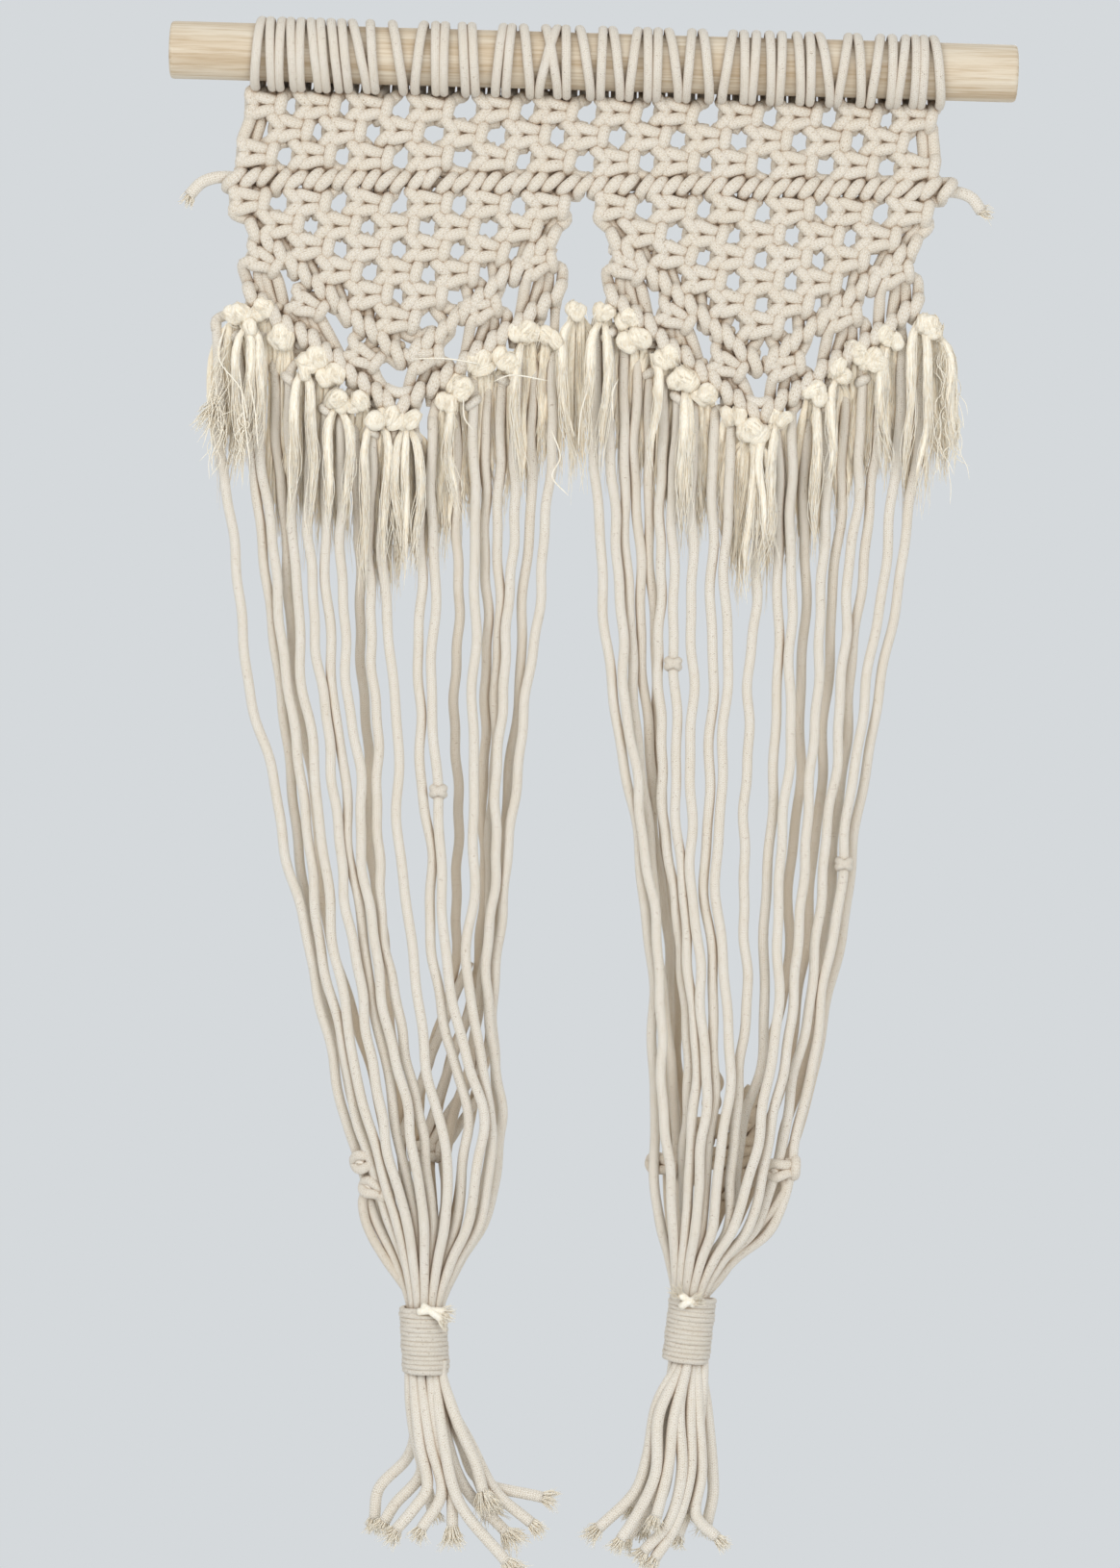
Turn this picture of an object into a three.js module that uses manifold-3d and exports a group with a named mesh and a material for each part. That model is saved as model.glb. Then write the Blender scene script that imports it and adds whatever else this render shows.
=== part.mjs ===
// Double macrame plant hanger on a wooden dowel, in millimetres, +Z up, front towards -Y.
// The origin is the centre of the dowel. Cords doubled over the dowel are knotted into one net
// with two pointed lower panels. Yarn tassels hang along both points, and below each point a
// sheaf of cords opens round a pot space, closes in a wrapped knot and ends in loose tails.

import * as THREE from 'three';
import { mergeVertices } from 'three/addons/utils/BufferGeometryUtils.js';
import Module from 'manifold-3d';

const wasm = await Module();
wasm.setup();

// ---------------------------------------------------------------- driving sizes

const CORD = 4.8; // diameter of the braided cotton cord
const CORD_SIDES = 6;
const CORD_STEPS = 9; // straight lengths along a hanging cord
const TAIL_STEPS = 5; // and along a loose tail
const GAP = 0.3; // clearance between neighbouring pieces

const DOWEL_LENGTH = 400;
const DOWEL_RADIUS = 13.5;
const DOWEL_SIDES = 24;
const DOWEL_CHAMFER = 1;
const DOWEL_STUB = 34; // bare length at each end

const NET_Y = 6; // the net hangs from the back of the dowel's underside
const NET_THICK = 10;
const NET_FRONT = NET_Y - NET_THICK / 2;
const NET_TOP = -15.5;

const CARRIER_Z = -56; // height of the half-hitch row
const CARRIER_CHANNEL = CORD + 2 * GAP;

const FRINGE_FRONT = -4.65;
const FRINGE_BACK = 0.35;

const SHEAF_Y = 8; // mid-depth of the hanging cords
const TOP_HALF_DEPTH = 2.6; // half of the sheaf's depth at the border
const SHEAF_END = -548; // where the cords run together above the wrap

const NECK_RADIUS = 7.7; // the cords pressed together inside the wrap
const WRAP_RADIUS = 11.6;
const WRAP_HEIGHT = 33;

// ---------------------------------------------------------------- materials

const pine = new THREE.MeshStandardMaterial({ color: 0xe4cda5, roughness: 0.65, metalness: 0 });
const cotton = new THREE.MeshStandardMaterial({ color: 0xe1d7c6, roughness: 0.95, metalness: 0 });
const yarn = new THREE.MeshStandardMaterial({ color: 0xefe3c6, roughness: 0.95, metalness: 0 });

// ---------------------------------------------------------------- shape helpers

// A closed mesh as a manifold solid, and a manifold solid as a closed mesh.
function toSolid(geometry) {
  const bare = geometry.clone();
  bare.deleteAttribute('normal');
  bare.deleteAttribute('uv');
  const merged = mergeVertices(bare, 1e-4);
  return new wasm.Manifold(
    new wasm.Mesh({
      numProp: 3,
      vertProperties: new Float32Array(merged.attributes.position.array),
      triVerts: new Uint32Array(merged.index.array),
    }),
  );
}

function toGeometry(solid) {
  const mesh = solid.getMesh();
  const geometry = new THREE.BufferGeometry();
  geometry.setAttribute('position', new THREE.BufferAttribute(mesh.vertProperties, 3));
  geometry.setIndex(new THREE.BufferAttribute(mesh.triVerts, 1));
  geometry.computeVertexNormals();
  return geometry;
}

// A flat outline in X and Z, given a thickness from `front` to `back` along Y.
function slab(shape, front, back, curveSegments = 3) {
  const depth = back - front;
  const geometry = new THREE.ExtrudeGeometry(shape, { depth, bevelEnabled: false, curveSegments });
  geometry.rotateX(Math.PI / 2);
  geometry.translate(0, back, 0);
  return geometry;
}

function polygon(points) {
  return new THREE.Shape(points.map(([x, z]) => new THREE.Vector2(x, z)));
}

// A round tube of `sides` flats along a smooth curve through the points.
function tube(points, radius, sides, steps) {
  const section = new THREE.Shape();
  for (let i = 0; i < sides; i += 1) {
    const angle = (2 * Math.PI * i) / sides;
    const corner = [radius * Math.cos(angle), radius * Math.sin(angle)];
    if (i === 0) section.moveTo(...corner);
    else section.lineTo(...corner);
  }
  const path = new THREE.CatmullRomCurve3(points, false, 'centripetal');
  return new THREE.ExtrudeGeometry(section, { steps, extrudePath: path, bevelEnabled: false });
}

// Height at x on a broken line of [x, z] points in rising x.
function heightAt(line, x) {
  const last = line.length - 1;
  if (x <= line[0][0]) return line[0][1];
  if (x >= line[last][0]) return line[last][1];
  const i = line.findIndex(([nextX]) => nextX >= x);
  const [x0, z0] = line[i - 1];
  const [x1, z1] = line[i];
  return z0 + ((z1 - z0) * (x - x0)) / (x1 - x0);
}

// The line's lowest height from x - reach to x + reach.
function lowestNear(line, x, reach) {
  const corners = line.filter(([cornerX]) => Math.abs(cornerX - x) < reach).map(([, z]) => z);
  return Math.min(heightAt(line, x - reach), heightAt(line, x + reach), ...corners);
}

const group = new THREE.Group();

function addNode(name, geometry, material) {
  const mesh = new THREE.Mesh(geometry, material);
  mesh.name = name;
  group.add(mesh);
  return mesh;
}

// ---------------------------------------------------------------- dowel

// A turned rod along X with small chamfers. Its flats at both bare ends are separate from those
// under the cords.
function dowelGeometry() {
  const half = DOWEL_LENGTH / 2;
  const profile = [
    [0, -half],
    [DOWEL_RADIUS - DOWEL_CHAMFER, -half],
    [DOWEL_RADIUS, -half + DOWEL_CHAMFER],
    [DOWEL_RADIUS, -half + DOWEL_STUB],
    [DOWEL_RADIUS, half - DOWEL_STUB],
    [DOWEL_RADIUS, half - DOWEL_CHAMFER],
    [DOWEL_RADIUS - DOWEL_CHAMFER, half],
    [0, half],
  ].map(([radius, along]) => new THREE.Vector2(radius, along));
  const geometry = new THREE.LatheGeometry(profile, DOWEL_SIDES);
  geometry.rotateZ(-Math.PI / 2);
  geometry.rotateX(Math.PI / DOWEL_SIDES); // a flat lies straight below the axis
  return geometry;
}

addNode('dowel', dowelGeometry(), pine);

// ---------------------------------------------------------------- net

// The pointed lower borders, from each outer corner to the middle of the net: [x, z].
const LEFT_BORDER = [
  [-178, -128],
  [-172, -134],
  [-158, -138],
  [-144, -153],
  [-130, -160],
  [-117, -175],
  [-103, -178],
  [-89, -185],
  [-79, -180],
  [-64, -169],
  [-49, -160],
  [-31, -149],
  [-15, -135],
  [-2, -124],
];
const RIGHT_BORDER = [
  [3, -124],
  [14, -134],
  [29, -145],
  [40, -156],
  [54, -164],
  [68, -168],
  [82, -180],
  [94, -168],
  [111, -164],
  [125, -153],
  [140, -145],
  [151, -131],
  [166, -123],
  [171, -118],
];

// The uneven side edges, downwards on the left and upwards on the right.
const LEFT_EDGE = [
  [-161, NET_TOP],
  [-161, -23],
  [-165, -33],
  [-170, -50],
  [-177, -62],
  [-172, -69],
  [-168, -80],
  [-162, -94],
  [-166, -110],
];
const RIGHT_EDGE = [
  [166, -113],
  [160, -103],
  [155, -89],
  [156, -73],
  [165, -60],
  [170, -52],
  [164, -40],
  [162, -25],
  [163, NET_TOP],
];

// Gaps between the knots: centre x and z, width, height.
const BORDER_GAPS = [
  [-142.5, -110, 9, 10],
  [-118, -133.5, 9.5, 12],
  [-87.5, -151.5, 12, 9.5],
  [-59.5, -129.5, 10, 10],
  [-33.5, -109, 11.5, 11],
  [32, -110, 11, 11],
  [56.5, -130.5, 10, 12],
  [82, -151.5, 12, 9.5],
  [111, -128, 10, 12],
  [136, -107, 11, 10],
];
const TOP_ROW_GAPS = [
  [-140.5, -25, 5, 9],
  [-114.5, -25, 5.5, 9],
  [-86.5, -23, 9, 12],
  [-57, -24, 9, 11],
  [-27, -24, 8, 12],
  [1.5, -23, 9, 12],
  [29, -24, 7, 12],
  [58.5, -22.5, 7.5, 13],
  [87.5, -23, 7, 11],
  [115, -22.5, 9, 13],
  [143, -23, 6.5, 12],
];

// The drop-shaped opening between the two lower panels.
const DROP = { top: [-3, -65], left: [-12, -90], foot: [-2, -115], right: [8.5, -90] };

// Cords side by side on the dowel: middle of the group, number of strands.
const DOWEL_LOOPS = [
  [-137.5, 9],
  [-112, 1],
  [-105, 1],
  [-94, 1],
  [-75.5, 3],
  [-60, 2],
  [-38, 3],
  [-15, 4],
  [8, 2],
  [28.5, 4],
  [50, 2],
  [71, 3],
  [88.5, 2],
  [103.5, 3],
  [123.5, 2],
  [138, 2],
  [155, 4],
];
const STRAND_PITCH = 5;

function gapPath([x, z, width, height]) {
  const path = new THREE.Path();
  path.moveTo(x, z + height / 2);
  path.lineTo(x - width / 2, z + height / 4);
  path.lineTo(x - width / 2, z - height / 4);
  path.lineTo(x, z - height / 2);
  path.lineTo(x + width / 2, z - height / 4);
  path.lineTo(x + width / 2, z + height / 4);
  path.closePath();
  return path;
}

function dropPath() {
  const { top, left, foot, right } = DROP;
  const shoulder = 9; // how far the curve runs straight down at its widest
  const path = new THREE.Path();
  path.moveTo(...top);
  path.quadraticCurveTo(left[0], left[1] + shoulder, left[0], left[1]);
  path.quadraticCurveTo(left[0], left[1] - shoulder, ...foot);
  path.quadraticCurveTo(right[0], right[1] - shoulder, right[0], right[1]);
  path.quadraticCurveTo(right[0], right[1] + shoulder, ...top);
  return path;
}

// Strands wrapped round the dowel side by side, as one band with the fold's bar at the back.
function loopSolid([x, strands]) {
  const sides = 10;
  const width = (strands - 1) * STRAND_PITCH + CORD;
  const inner = (DOWEL_RADIUS + GAP) / Math.cos(Math.PI / sides);
  const outer = DOWEL_RADIUS + CORD;
  const profile = [
    [inner, -width / 2],
    [outer, -width / 2],
    [outer, width / 2],
    [inner, width / 2],
    [inner, -width / 2],
  ].map(([radius, along]) => new THREE.Vector2(radius, along));
  const band = new THREE.LatheGeometry(profile, sides);
  band.rotateZ(-Math.PI / 2);
  band.translate(x, 0, 0);
  const bar = new THREE.BoxGeometry(width, CORD, CORD);
  bar.translate(x, outer + 0.4, -8);
  return toSolid(band).add(toSolid(bar));
}

function netGeometry() {
  const outline = [...LEFT_EDGE, ...LEFT_BORDER, ...RIGHT_BORDER, ...RIGHT_EDGE];
  const shape = polygon(outline);
  shape.holes.push(...BORDER_GAPS.map(gapPath), ...TOP_ROW_GAPS.map(gapPath), dropPath());
  let net = toSolid(slab(shape, NET_FRONT, NET_Y + NET_THICK / 2));
  for (const loop of DOWEL_LOOPS) net = net.add(loopSolid(loop));
  const channel = new THREE.BoxGeometry(DOWEL_LENGTH, CARRIER_CHANNEL, CARRIER_CHANNEL);
  channel.translate(0, NET_Y, CARRIER_Z);
  return toGeometry(net.subtract(toSolid(channel)));
}

addNode('knotted_net', netGeometry(), cotton);

// ---------------------------------------------------------------- carrier cord

// It runs straight through the half-hitch row, and both frayed ends droop.
const CARRIER_ROUTE = [
  [-190, -68],
  [-179, CARRIER_Z],
  [174, CARRIER_Z],
  [186, -65],
];

function carrierGeometry() {
  const radius = CORD / 2;
  const rod = new THREE.CylinderGeometry(radius, radius, 1, CORD_SIDES);
  let carrier = null;
  for (let i = 1; i < CARRIER_ROUTE.length; i += 1) {
    const [x0, z0] = CARRIER_ROUTE[i - 1];
    const [x1, z1] = CARRIER_ROUTE[i];
    const overlap = i === 1 ? 0 : 1; // each length starts a little inside the one before
    const length = Math.hypot(x1 - x0, z1 - z0) + overlap;
    const piece = rod.clone().scale(1, length, 1).translate(0, length / 2 - overlap, 0);
    piece.rotateZ(Math.atan2(z1 - z0, x1 - x0) - Math.PI / 2);
    piece.rotateX(Math.PI / 2);
    piece.translate(x0, NET_Y, z0);
    const solid = toSolid(piece);
    carrier = carrier ? carrier.add(solid) : solid;
  }
  return toGeometry(carrier);
}

addNode('carrier_cord', carrierGeometry(), cotton);

// ---------------------------------------------------------------- fringes

// Tassels along each border: middle x, width, height of the tip.
const LEFT_TASSELS = [
  [-169, 11, -200],
  [-153, 7, -190],
  [-143, 8, -218],
  [-132, 9, -227],
  [-115, 13, -228],
  [-97, 11, -250],
  [-83, 14, -241],
  [-65, 8, -232],
  [-54, 9, -218],
  [-42, 8, -205],
  [-30, 9, -213],
  [-15, 8, -191],
  [-2, 8, -198],
];
const RIGHT_TASSELS = [
  [8, 8, -191],
  [20, 7, -198],
  [31, 8, -203],
  [47, 10, -223],
  [60, 8, -223],
  [76, 14, -246],
  [92, 13, -237],
  [111, 10, -232],
  [122, 8, -214],
  [133, 8, -198],
  [147, 8, -198],
  [158, 7, -205],
  [172, 9, -187],
];
const FRINGE_HEAD = 4; // how far the tassel heads reach above the border
const FRINGE_NECK = 7; // how far the heads reach below it
const TIP_SHARE = 0.6; // width of a tassel's tip against its head

// One comb: the tassel heads follow the border as a band, and each tassel is a tooth.
function fringeGeometry(border, tassels) {
  const first = tassels[0];
  const last = tassels[tassels.length - 1];
  const xMin = first[0] - first[1] / 2;
  const xMax = last[0] + last[1] / 2;
  const upper = border
    .filter(([x]) => x > xMin && x < xMax)
    .map(([x, z]) => [x, z + FRINGE_HEAD]);
  const outline = [[xMin, heightAt(border, xMin) + FRINGE_HEAD], ...upper];
  outline.push([xMax, heightAt(border, xMax) + FRINGE_HEAD]);
  for (const [x, width, tip] of [...tassels].reverse()) {
    const right = x + width / 2;
    const left = x - width / 2;
    outline.push([right, heightAt(border, right) - FRINGE_NECK]);
    outline.push([x + (width * TIP_SHARE) / 2, tip]);
    outline.push([x - (width * TIP_SHARE) / 2, tip]);
    outline.push([left, heightAt(border, left) - FRINGE_NECK]);
  }
  return slab(polygon(outline.reverse()), FRINGE_FRONT, FRINGE_BACK);
}

addNode('fringe_left', fringeGeometry(LEFT_BORDER, LEFT_TASSELS), yarn);
addNode('fringe_right', fringeGeometry(RIGHT_BORDER, RIGHT_TASSELS), yarn);

// ---------------------------------------------------------------- hanging cords

// Heights at which each cord's place is given, and half of the sheaf's depth there.
const LEVELS = [-200, -246, -291, -337, -382, -428, -473, -496, -519, -550];
const HALF_DEPTH = [3, 4, 6.5, 9.5, 12, 15, 18.5, 20, 20, 16];

// Routes: layer (-1 front to 1 back), x at the border, then x at each of the levels above.
const LEFT_CORDS = [
  [-0.25, -175.5, -170, -161.5, -157, -144, -134, -121.5, -111, -105.5, -97, -88],
  [0.4, -166, -156, -148, -142.5, -134, -129.5, -119, -107.5, -100.5, -92.5, -84.5],
  [-0.6, -157, -151.5, -143, -138.5, -129, -123.5, -115.5, -104.5, -99, -91.5, -81.5],
  [0.9, -147.5, -143.5, -138, -134.5, -125, -120, -111.5, -94.5, -89, -85, -80],
  [-0.85, -140, -138, -134, -130, -122.5, -116.5, -109, -100, -94, -87.5, -77.5],
  [-1, -130, -129.5, -127, -121.5, -114, -108.5, -100, -91, -87, -81.5, -72.5],
  [-0.7, -122, -122, -119.5, -116, -109, -103.5, -95, -86, -80, -76, -68.5],
  [-1, -115, -114.5, -112, -109, -101.5, -98, -90, -80.5, -74, -69.5, -64.5],
  [1, -108, -106.5, -104.5, -101.5, -98, -94.5, -87.5, -81.5, -79, -77, -72.5],
  [-0.7, -100, -99.5, -99.5, -96, -92.5, -91, -85, -74.5, -69, -65, -60.5],
  [-1, -90, -92, -93, -86.5, -83, -80.5, -72, -66.5, -59.5, -54.5, -54.5],
  [-0.7, -80, -76.5, -75, -74.5, -72, -66, -64, -52.5, -46, -46.5, -49],
  [-1, -71.5, -71, -68.5, -68, -65.5, -60.5, -58, -45.5, -38, -40, -43.5],
  [1, -60.5, -59.5, -57, -57.5, -55.5, -54, -54, -64, -68.5, -70.5, -66.5],
  [-0.75, -52.5, -51, -49, -48.5, -47.5, -45.5, -47.5, -40, -34, -34.5, -38],
  [1, -46, -46, -44, -42.5, -43, -41.5, -42.5, -53.5, -59.5, -63, -61],
  [0.45, -39, -39.5, -38, -37.5, -38, -38.5, -39, -45.5, -50.5, -55, -55.5],
  [-0.3, -32, -32, -32, -34.5, -36, -36, -38, -34.5, -29, -30, -36],
  [0.95, -24, -24, -25.5, -27, -30, -32.5, -34.5, -38.5, -43, -46.5, -50.5],
  [0.05, -15, -15.5, -18, -22, -27, -30, -34.5, -33.5, -32.5, -34, -41.5],
];
const RIGHT_CORDS = [
  [-0.3, 5, 7, 11.5, 16, 25.5, 33.5, 39.5, 42, 43, 43, 47.5],
  [-0.8, 11, 14.5, 19.5, 22.5, 29.5, 36.5, 43.5, 45, 47.5, 50, 53],
  [0.1, 18.5, 20, 24, 26.5, 33, 38.5, 44, 49.5, 53.5, 55, 57.5],
  [0.6, 25, 25.5, 29.5, 32, 37, 42, 48.5, 50, 50.5, 50, 52.5],
  [1, 31, 31.5, 35, 38, 41.5, 45, 51.5, 54.5, 57.5, 59, 61],
  [-0.45, 37.5, 38, 38.5, 39.5, 42, 47, 54.5, 57.5, 59, 57, 59],
  [-0.8, 44.5, 43.5, 44.5, 47, 48.5, 52, 57.5, 61.5, 61.5, 60, 59],
  [-1, 52, 52.5, 53.5, 55, 55.5, 57, 62, 66, 66.5, 65, 63.5],
  [-0.75, 62.5, 62, 63, 64.5, 64.5, 63.5, 68, 70.5, 69.5, 68.5, 66.5],
  [-1, 70.5, 69.5, 69.5, 71.5, 70, 69, 73, 78.5, 75.5, 73.5, 71.5],
  [-0.7, 81, 83.5, 84, 82, 82, 81.5, 84.5, 83, 81, 79.5, 79],
  [-0.3, 91.5, 93.5, 95, 95, 95.5, 92.5, 93.5, 92, 86.5, 83, 80.5],
  [-1, 98.5, 99.5, 100.5, 101.5, 101.5, 98, 99.5, 97, 93, 89, 81],
  [1, 106.5, 106, 107.5, 107.5, 107.5, 105, 104.5, 96, 93, 86, 74],
  [-0.8, 115, 115.5, 115.5, 114, 112.5, 109.5, 108, 102.5, 99, 95.5, 88],
  [0.9, 124, 123.5, 121, 119.5, 118, 115, 112, 106, 100, 94.5, 83.5],
  [-0.4, 132, 131, 127.5, 126, 123.5, 119, 116.5, 109.5, 105.5, 101.5, 92],
  [0.6, 140, 138, 133.5, 130.5, 127.5, 124, 119, 113, 108, 103, 91.5],
  [-0.3, 150.5, 148, 143.5, 138, 132, 128.5, 122.5, 116.5, 112, 109, 99.5],
  [0.3, 161.5, 157, 151, 145, 137.5, 133, 126.5, 118.5, 113, 108, 97],
];

// A cord from just under the border down to the gathered sheaf, cut level at both ends.
function cordGeometry(border, [layer, top, ...places]) {
  const startZ = lowestNear(border, top, CORD / 2 + GAP) - GAP;
  const points = [new THREE.Vector3(top, SHEAF_Y + layer * TOP_HALF_DEPTH, startZ + 2)];
  places.forEach((x, i) => {
    points.push(new THREE.Vector3(x, SHEAF_Y + layer * HALF_DEPTH[i], LEVELS[i]));
  });
  const whole = toSolid(tube(points, CORD / 2, CORD_SIDES, CORD_STEPS));
  const cut = whole.trimByPlane([0, 0, -1], -startZ).trimByPlane([0, 0, 1], SHEAF_END);
  return toGeometry(cut);
}

function addSheaf(side, border, cords) {
  cords.forEach((cord, i) => {
    const number = String(i + 1).padStart(2, '0');
    addNode(`cord_${side}_${number}`, cordGeometry(border, cord), cotton);
  });
}

addSheaf('left', LEFT_BORDER, LEFT_CORDS);
addSheaf('right', RIGHT_BORDER, RIGHT_CORDS);

// ---------------------------------------------------------------- gathered bundles and wraps

// Each sheaf closes on its wrap: axis and top of the wrap, and the middle and half-width of the
// sheaf where the cords run together.
const LEFT_GATHER = { x: -63, wrapTop: -591, topX: -62, topHalf: 30 };
const RIGHT_GATHER = { x: 62.5, wrapTop: -582, topX: 73, topHalf: 29 };
const TOP_HALF_Y = 18; // half-depth of a bundle at its top
const BUNDLE_SIDES = 12;

// Tails below the wraps, from the foot of the bundle: [x, y, z] points ending at a frayed tip.
const LEFT_TAILS = [
  [[-67, 4], [-63.5, -2, -655], [-59.5, -3, -676], [-65.5, -4, -686], [-73.5, -4, -696]],
  [[-64, 3], [-58.5, -3, -655], [-52.5, -4, -678], [-61.5, -6, -695]],
  [[-60, 2], [-54.5, -2, -655], [-48, -2, -678], [-47, -2, -694]],
  [[-57, 3], [-50.5, 2, -655], [-42, 4, -676], [-22, 6, -697]],
  [[-58, 2], [-52, -5, -655], [-44, -7, -682], [-21, -8, -709]],
  [[-60, 10], [-44.5, 8, -655], [-35.5, 9, -673], [-5, 10, -681]],
  [[-59, 5], [-40, 2, -655], [-27, 3, -678], [-10, 3, -692]],
  [[-66, 10], [-66.5, 12, -655], [-70, 14, -665], [-83, 15, -680], [-84.5, 14, -694]],
  [[-63, 11], [-63.5, 8, -655], [-63, 6, -671], [-75, 6, -686], [-79.5, 5, -694]],
];
const RIGHT_TAILS = [
  [[58, 3], [48, 0, -634], [44, -1, -659], [39, -1, -675], [22, -2, -693]],
  [[60, 2], [49, -5, -638], [48, -7, -666], [40, -7, -685], [32.5, -8, -697]],
  [[58, 10], [51, 6, -638], [51, 5, -661], [46, 5, -682], [36, 4, -698]],
  [[60, 11], [55.5, 12, -652], [52.5, 12, -677], [44, 12, -694]],
  [[62, 3], [58.5, -2, -634], [60.5, -4, -666], [55, -4, -689], [43.5, -4, -703]],
  [[64, 3], [64, 0, -640], [64.5, -2, -666], [58, -3, -691], [49, -4, -706]],
  [[64, 11], [66, 10, -652], [65.5, 9, -679], [60, 8, -697]],
  [[66, 4], [67.5, 2, -634], [70, 1, -666], [68, 0, -686], [78, 0, -696]],
  [[67, 8], [71.5, 8, -634], [75.5, 8, -666], [76, 8, -677], [73.5, 8, -691]],
];

// The gathered cords: wide and flat where they meet, round inside the wrap, opening out a
// little under it, with the loose tails joined on below.
function bundleGeometry(gather, tails) {
  const foot = gather.wrapTop - WRAP_HEIGHT - 4;
  const top = SHEAF_END - GAP;
  const neckTop = gather.wrapTop + 6;
  const profile = [
    [0, foot],
    [NECK_RADIUS, foot],
    [NECK_RADIUS, neckTop],
    [NECK_RADIUS + 3, neckTop + 9],
    [gather.topHalf, top],
    [0, top],
  ].map(([radius, z]) => new THREE.Vector2(radius, z));
  const geometry = new THREE.LatheGeometry(profile, BUNDLE_SIDES);
  geometry.rotateX(Math.PI / 2);
  const place = geometry.attributes.position;
  for (let i = 0; i < place.count; i += 1) {
    const z = place.getZ(i);
    const open = Math.max(0, (z - neckTop) / (top - neckTop)); // 0 in the wrap, 1 at the top
    const flatten = THREE.MathUtils.lerp(1, TOP_HALF_Y / gather.topHalf, open);
    const lean = THREE.MathUtils.lerp(gather.x, gather.topX, open);
    place.setX(i, place.getX(i) + lean);
    place.setY(i, place.getY(i) * flatten + SHEAF_Y);
  }
  let bundle = toSolid(geometry);
  for (const [[x, y], ...rest] of tails) {
    const points = [new THREE.Vector3(x, y, foot + 3), new THREE.Vector3(x, y, foot - 2)];
    rest.forEach((point) => points.push(new THREE.Vector3(...point)));
    bundle = bundle.add(toSolid(tube(points, CORD / 2, CORD_SIDES, TAIL_STEPS)));
  }
  return toGeometry(bundle);
}

function wrapGeometry(gather) {
  const sides = 16;
  const inner = (NECK_RADIUS + GAP) / Math.cos(Math.PI / sides);
  const round = 1.5; // softened rim
  const bottom = gather.wrapTop - WRAP_HEIGHT;
  const profile = [
    [inner, bottom],
    [WRAP_RADIUS - round, bottom],
    [WRAP_RADIUS, bottom + round],
    [WRAP_RADIUS, gather.wrapTop - round],
    [WRAP_RADIUS - round, gather.wrapTop],
    [inner, gather.wrapTop],
    [inner, bottom],
  ].map(([radius, z]) => new THREE.Vector2(radius, z));
  const geometry = new THREE.LatheGeometry(profile, sides);
  geometry.rotateX(Math.PI / 2);
  geometry.translate(gather.x, SHEAF_Y, 0);
  return geometry;
}

addNode('bundle_left', bundleGeometry(LEFT_GATHER, LEFT_TAILS), cotton);
addNode('bundle_right', bundleGeometry(RIGHT_GATHER, RIGHT_TAILS), cotton);
addNode('wrap_left', wrapGeometry(LEFT_GATHER), cotton);
addNode('wrap_right', wrapGeometry(RIGHT_GATHER), cotton);

export default group;
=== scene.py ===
# Looks of the macrame plant hanger: a net of square knots over a wooden dowel, combed yarn
# tassels, two sheaves of braided cord, and their wrapped ends. Lengths are in metres in the
# frame, and in millimetres (with y back towards the wall) until a mesh is made.

import math

import bpy
import numpy as np
from mathutils import Matrix, Vector


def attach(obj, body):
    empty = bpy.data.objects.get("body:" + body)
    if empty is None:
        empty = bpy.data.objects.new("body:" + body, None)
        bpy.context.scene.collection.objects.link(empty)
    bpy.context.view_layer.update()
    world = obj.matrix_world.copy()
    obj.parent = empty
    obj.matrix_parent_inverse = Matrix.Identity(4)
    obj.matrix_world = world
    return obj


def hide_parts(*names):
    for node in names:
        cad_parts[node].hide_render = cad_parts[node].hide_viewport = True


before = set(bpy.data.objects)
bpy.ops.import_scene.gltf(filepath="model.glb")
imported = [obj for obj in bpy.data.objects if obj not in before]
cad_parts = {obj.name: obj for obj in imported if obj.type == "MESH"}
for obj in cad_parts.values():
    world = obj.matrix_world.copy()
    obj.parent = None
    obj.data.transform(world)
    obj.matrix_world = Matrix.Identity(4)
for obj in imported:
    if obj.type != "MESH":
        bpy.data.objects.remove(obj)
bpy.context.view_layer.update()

MM = 0.001
rng, kinks = np.random.default_rng(7), np.random.default_rng(11)

# ---------------------------------------------------------------- sizes, as in the CAD model

CORD = 4.8
TIGHT = 2.3  # radius of a cord that is pulled tight
KNOTTED = 2.95  # radius of a cord that swells in a knot
DOWEL_LENGTH = 400
DOWEL_RADIUS = 13.5
NET_Y = 6
SHEAF_Y = 8
TOP_HALF_DEPTH = 2.6
SHEAF_END = -548
WRAP_RADIUS = 11.6
WRAP_HEIGHT = 33
STRANDS = 48  # of the net, half of them in each panel
PANEL = STRANDS // 2
RUN = PANEL // 2  # strands in each slanting row of hitches
SHEAF_CORDS = 20
CARRIER_LEFT_END = (-190, NET_Y, -68)
CARRIER_RIGHT_END = (186, NET_Y, -65)

# The pointed lower borders: [x, z].
LEFT_BORDER = [
    [-178, -128], [-172, -134], [-158, -138], [-144, -153], [-130, -160], [-117, -175],
    [-103, -178], [-89, -185], [-79, -180], [-64, -169], [-49, -160], [-31, -149],
    [-15, -135], [-2, -124],
]
RIGHT_BORDER = [
    [3, -124], [14, -134], [29, -145], [40, -156], [54, -164], [68, -168], [82, -180],
    [94, -168], [111, -164], [125, -153], [140, -145], [151, -131], [166, -123], [171, -118],
]

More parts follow.
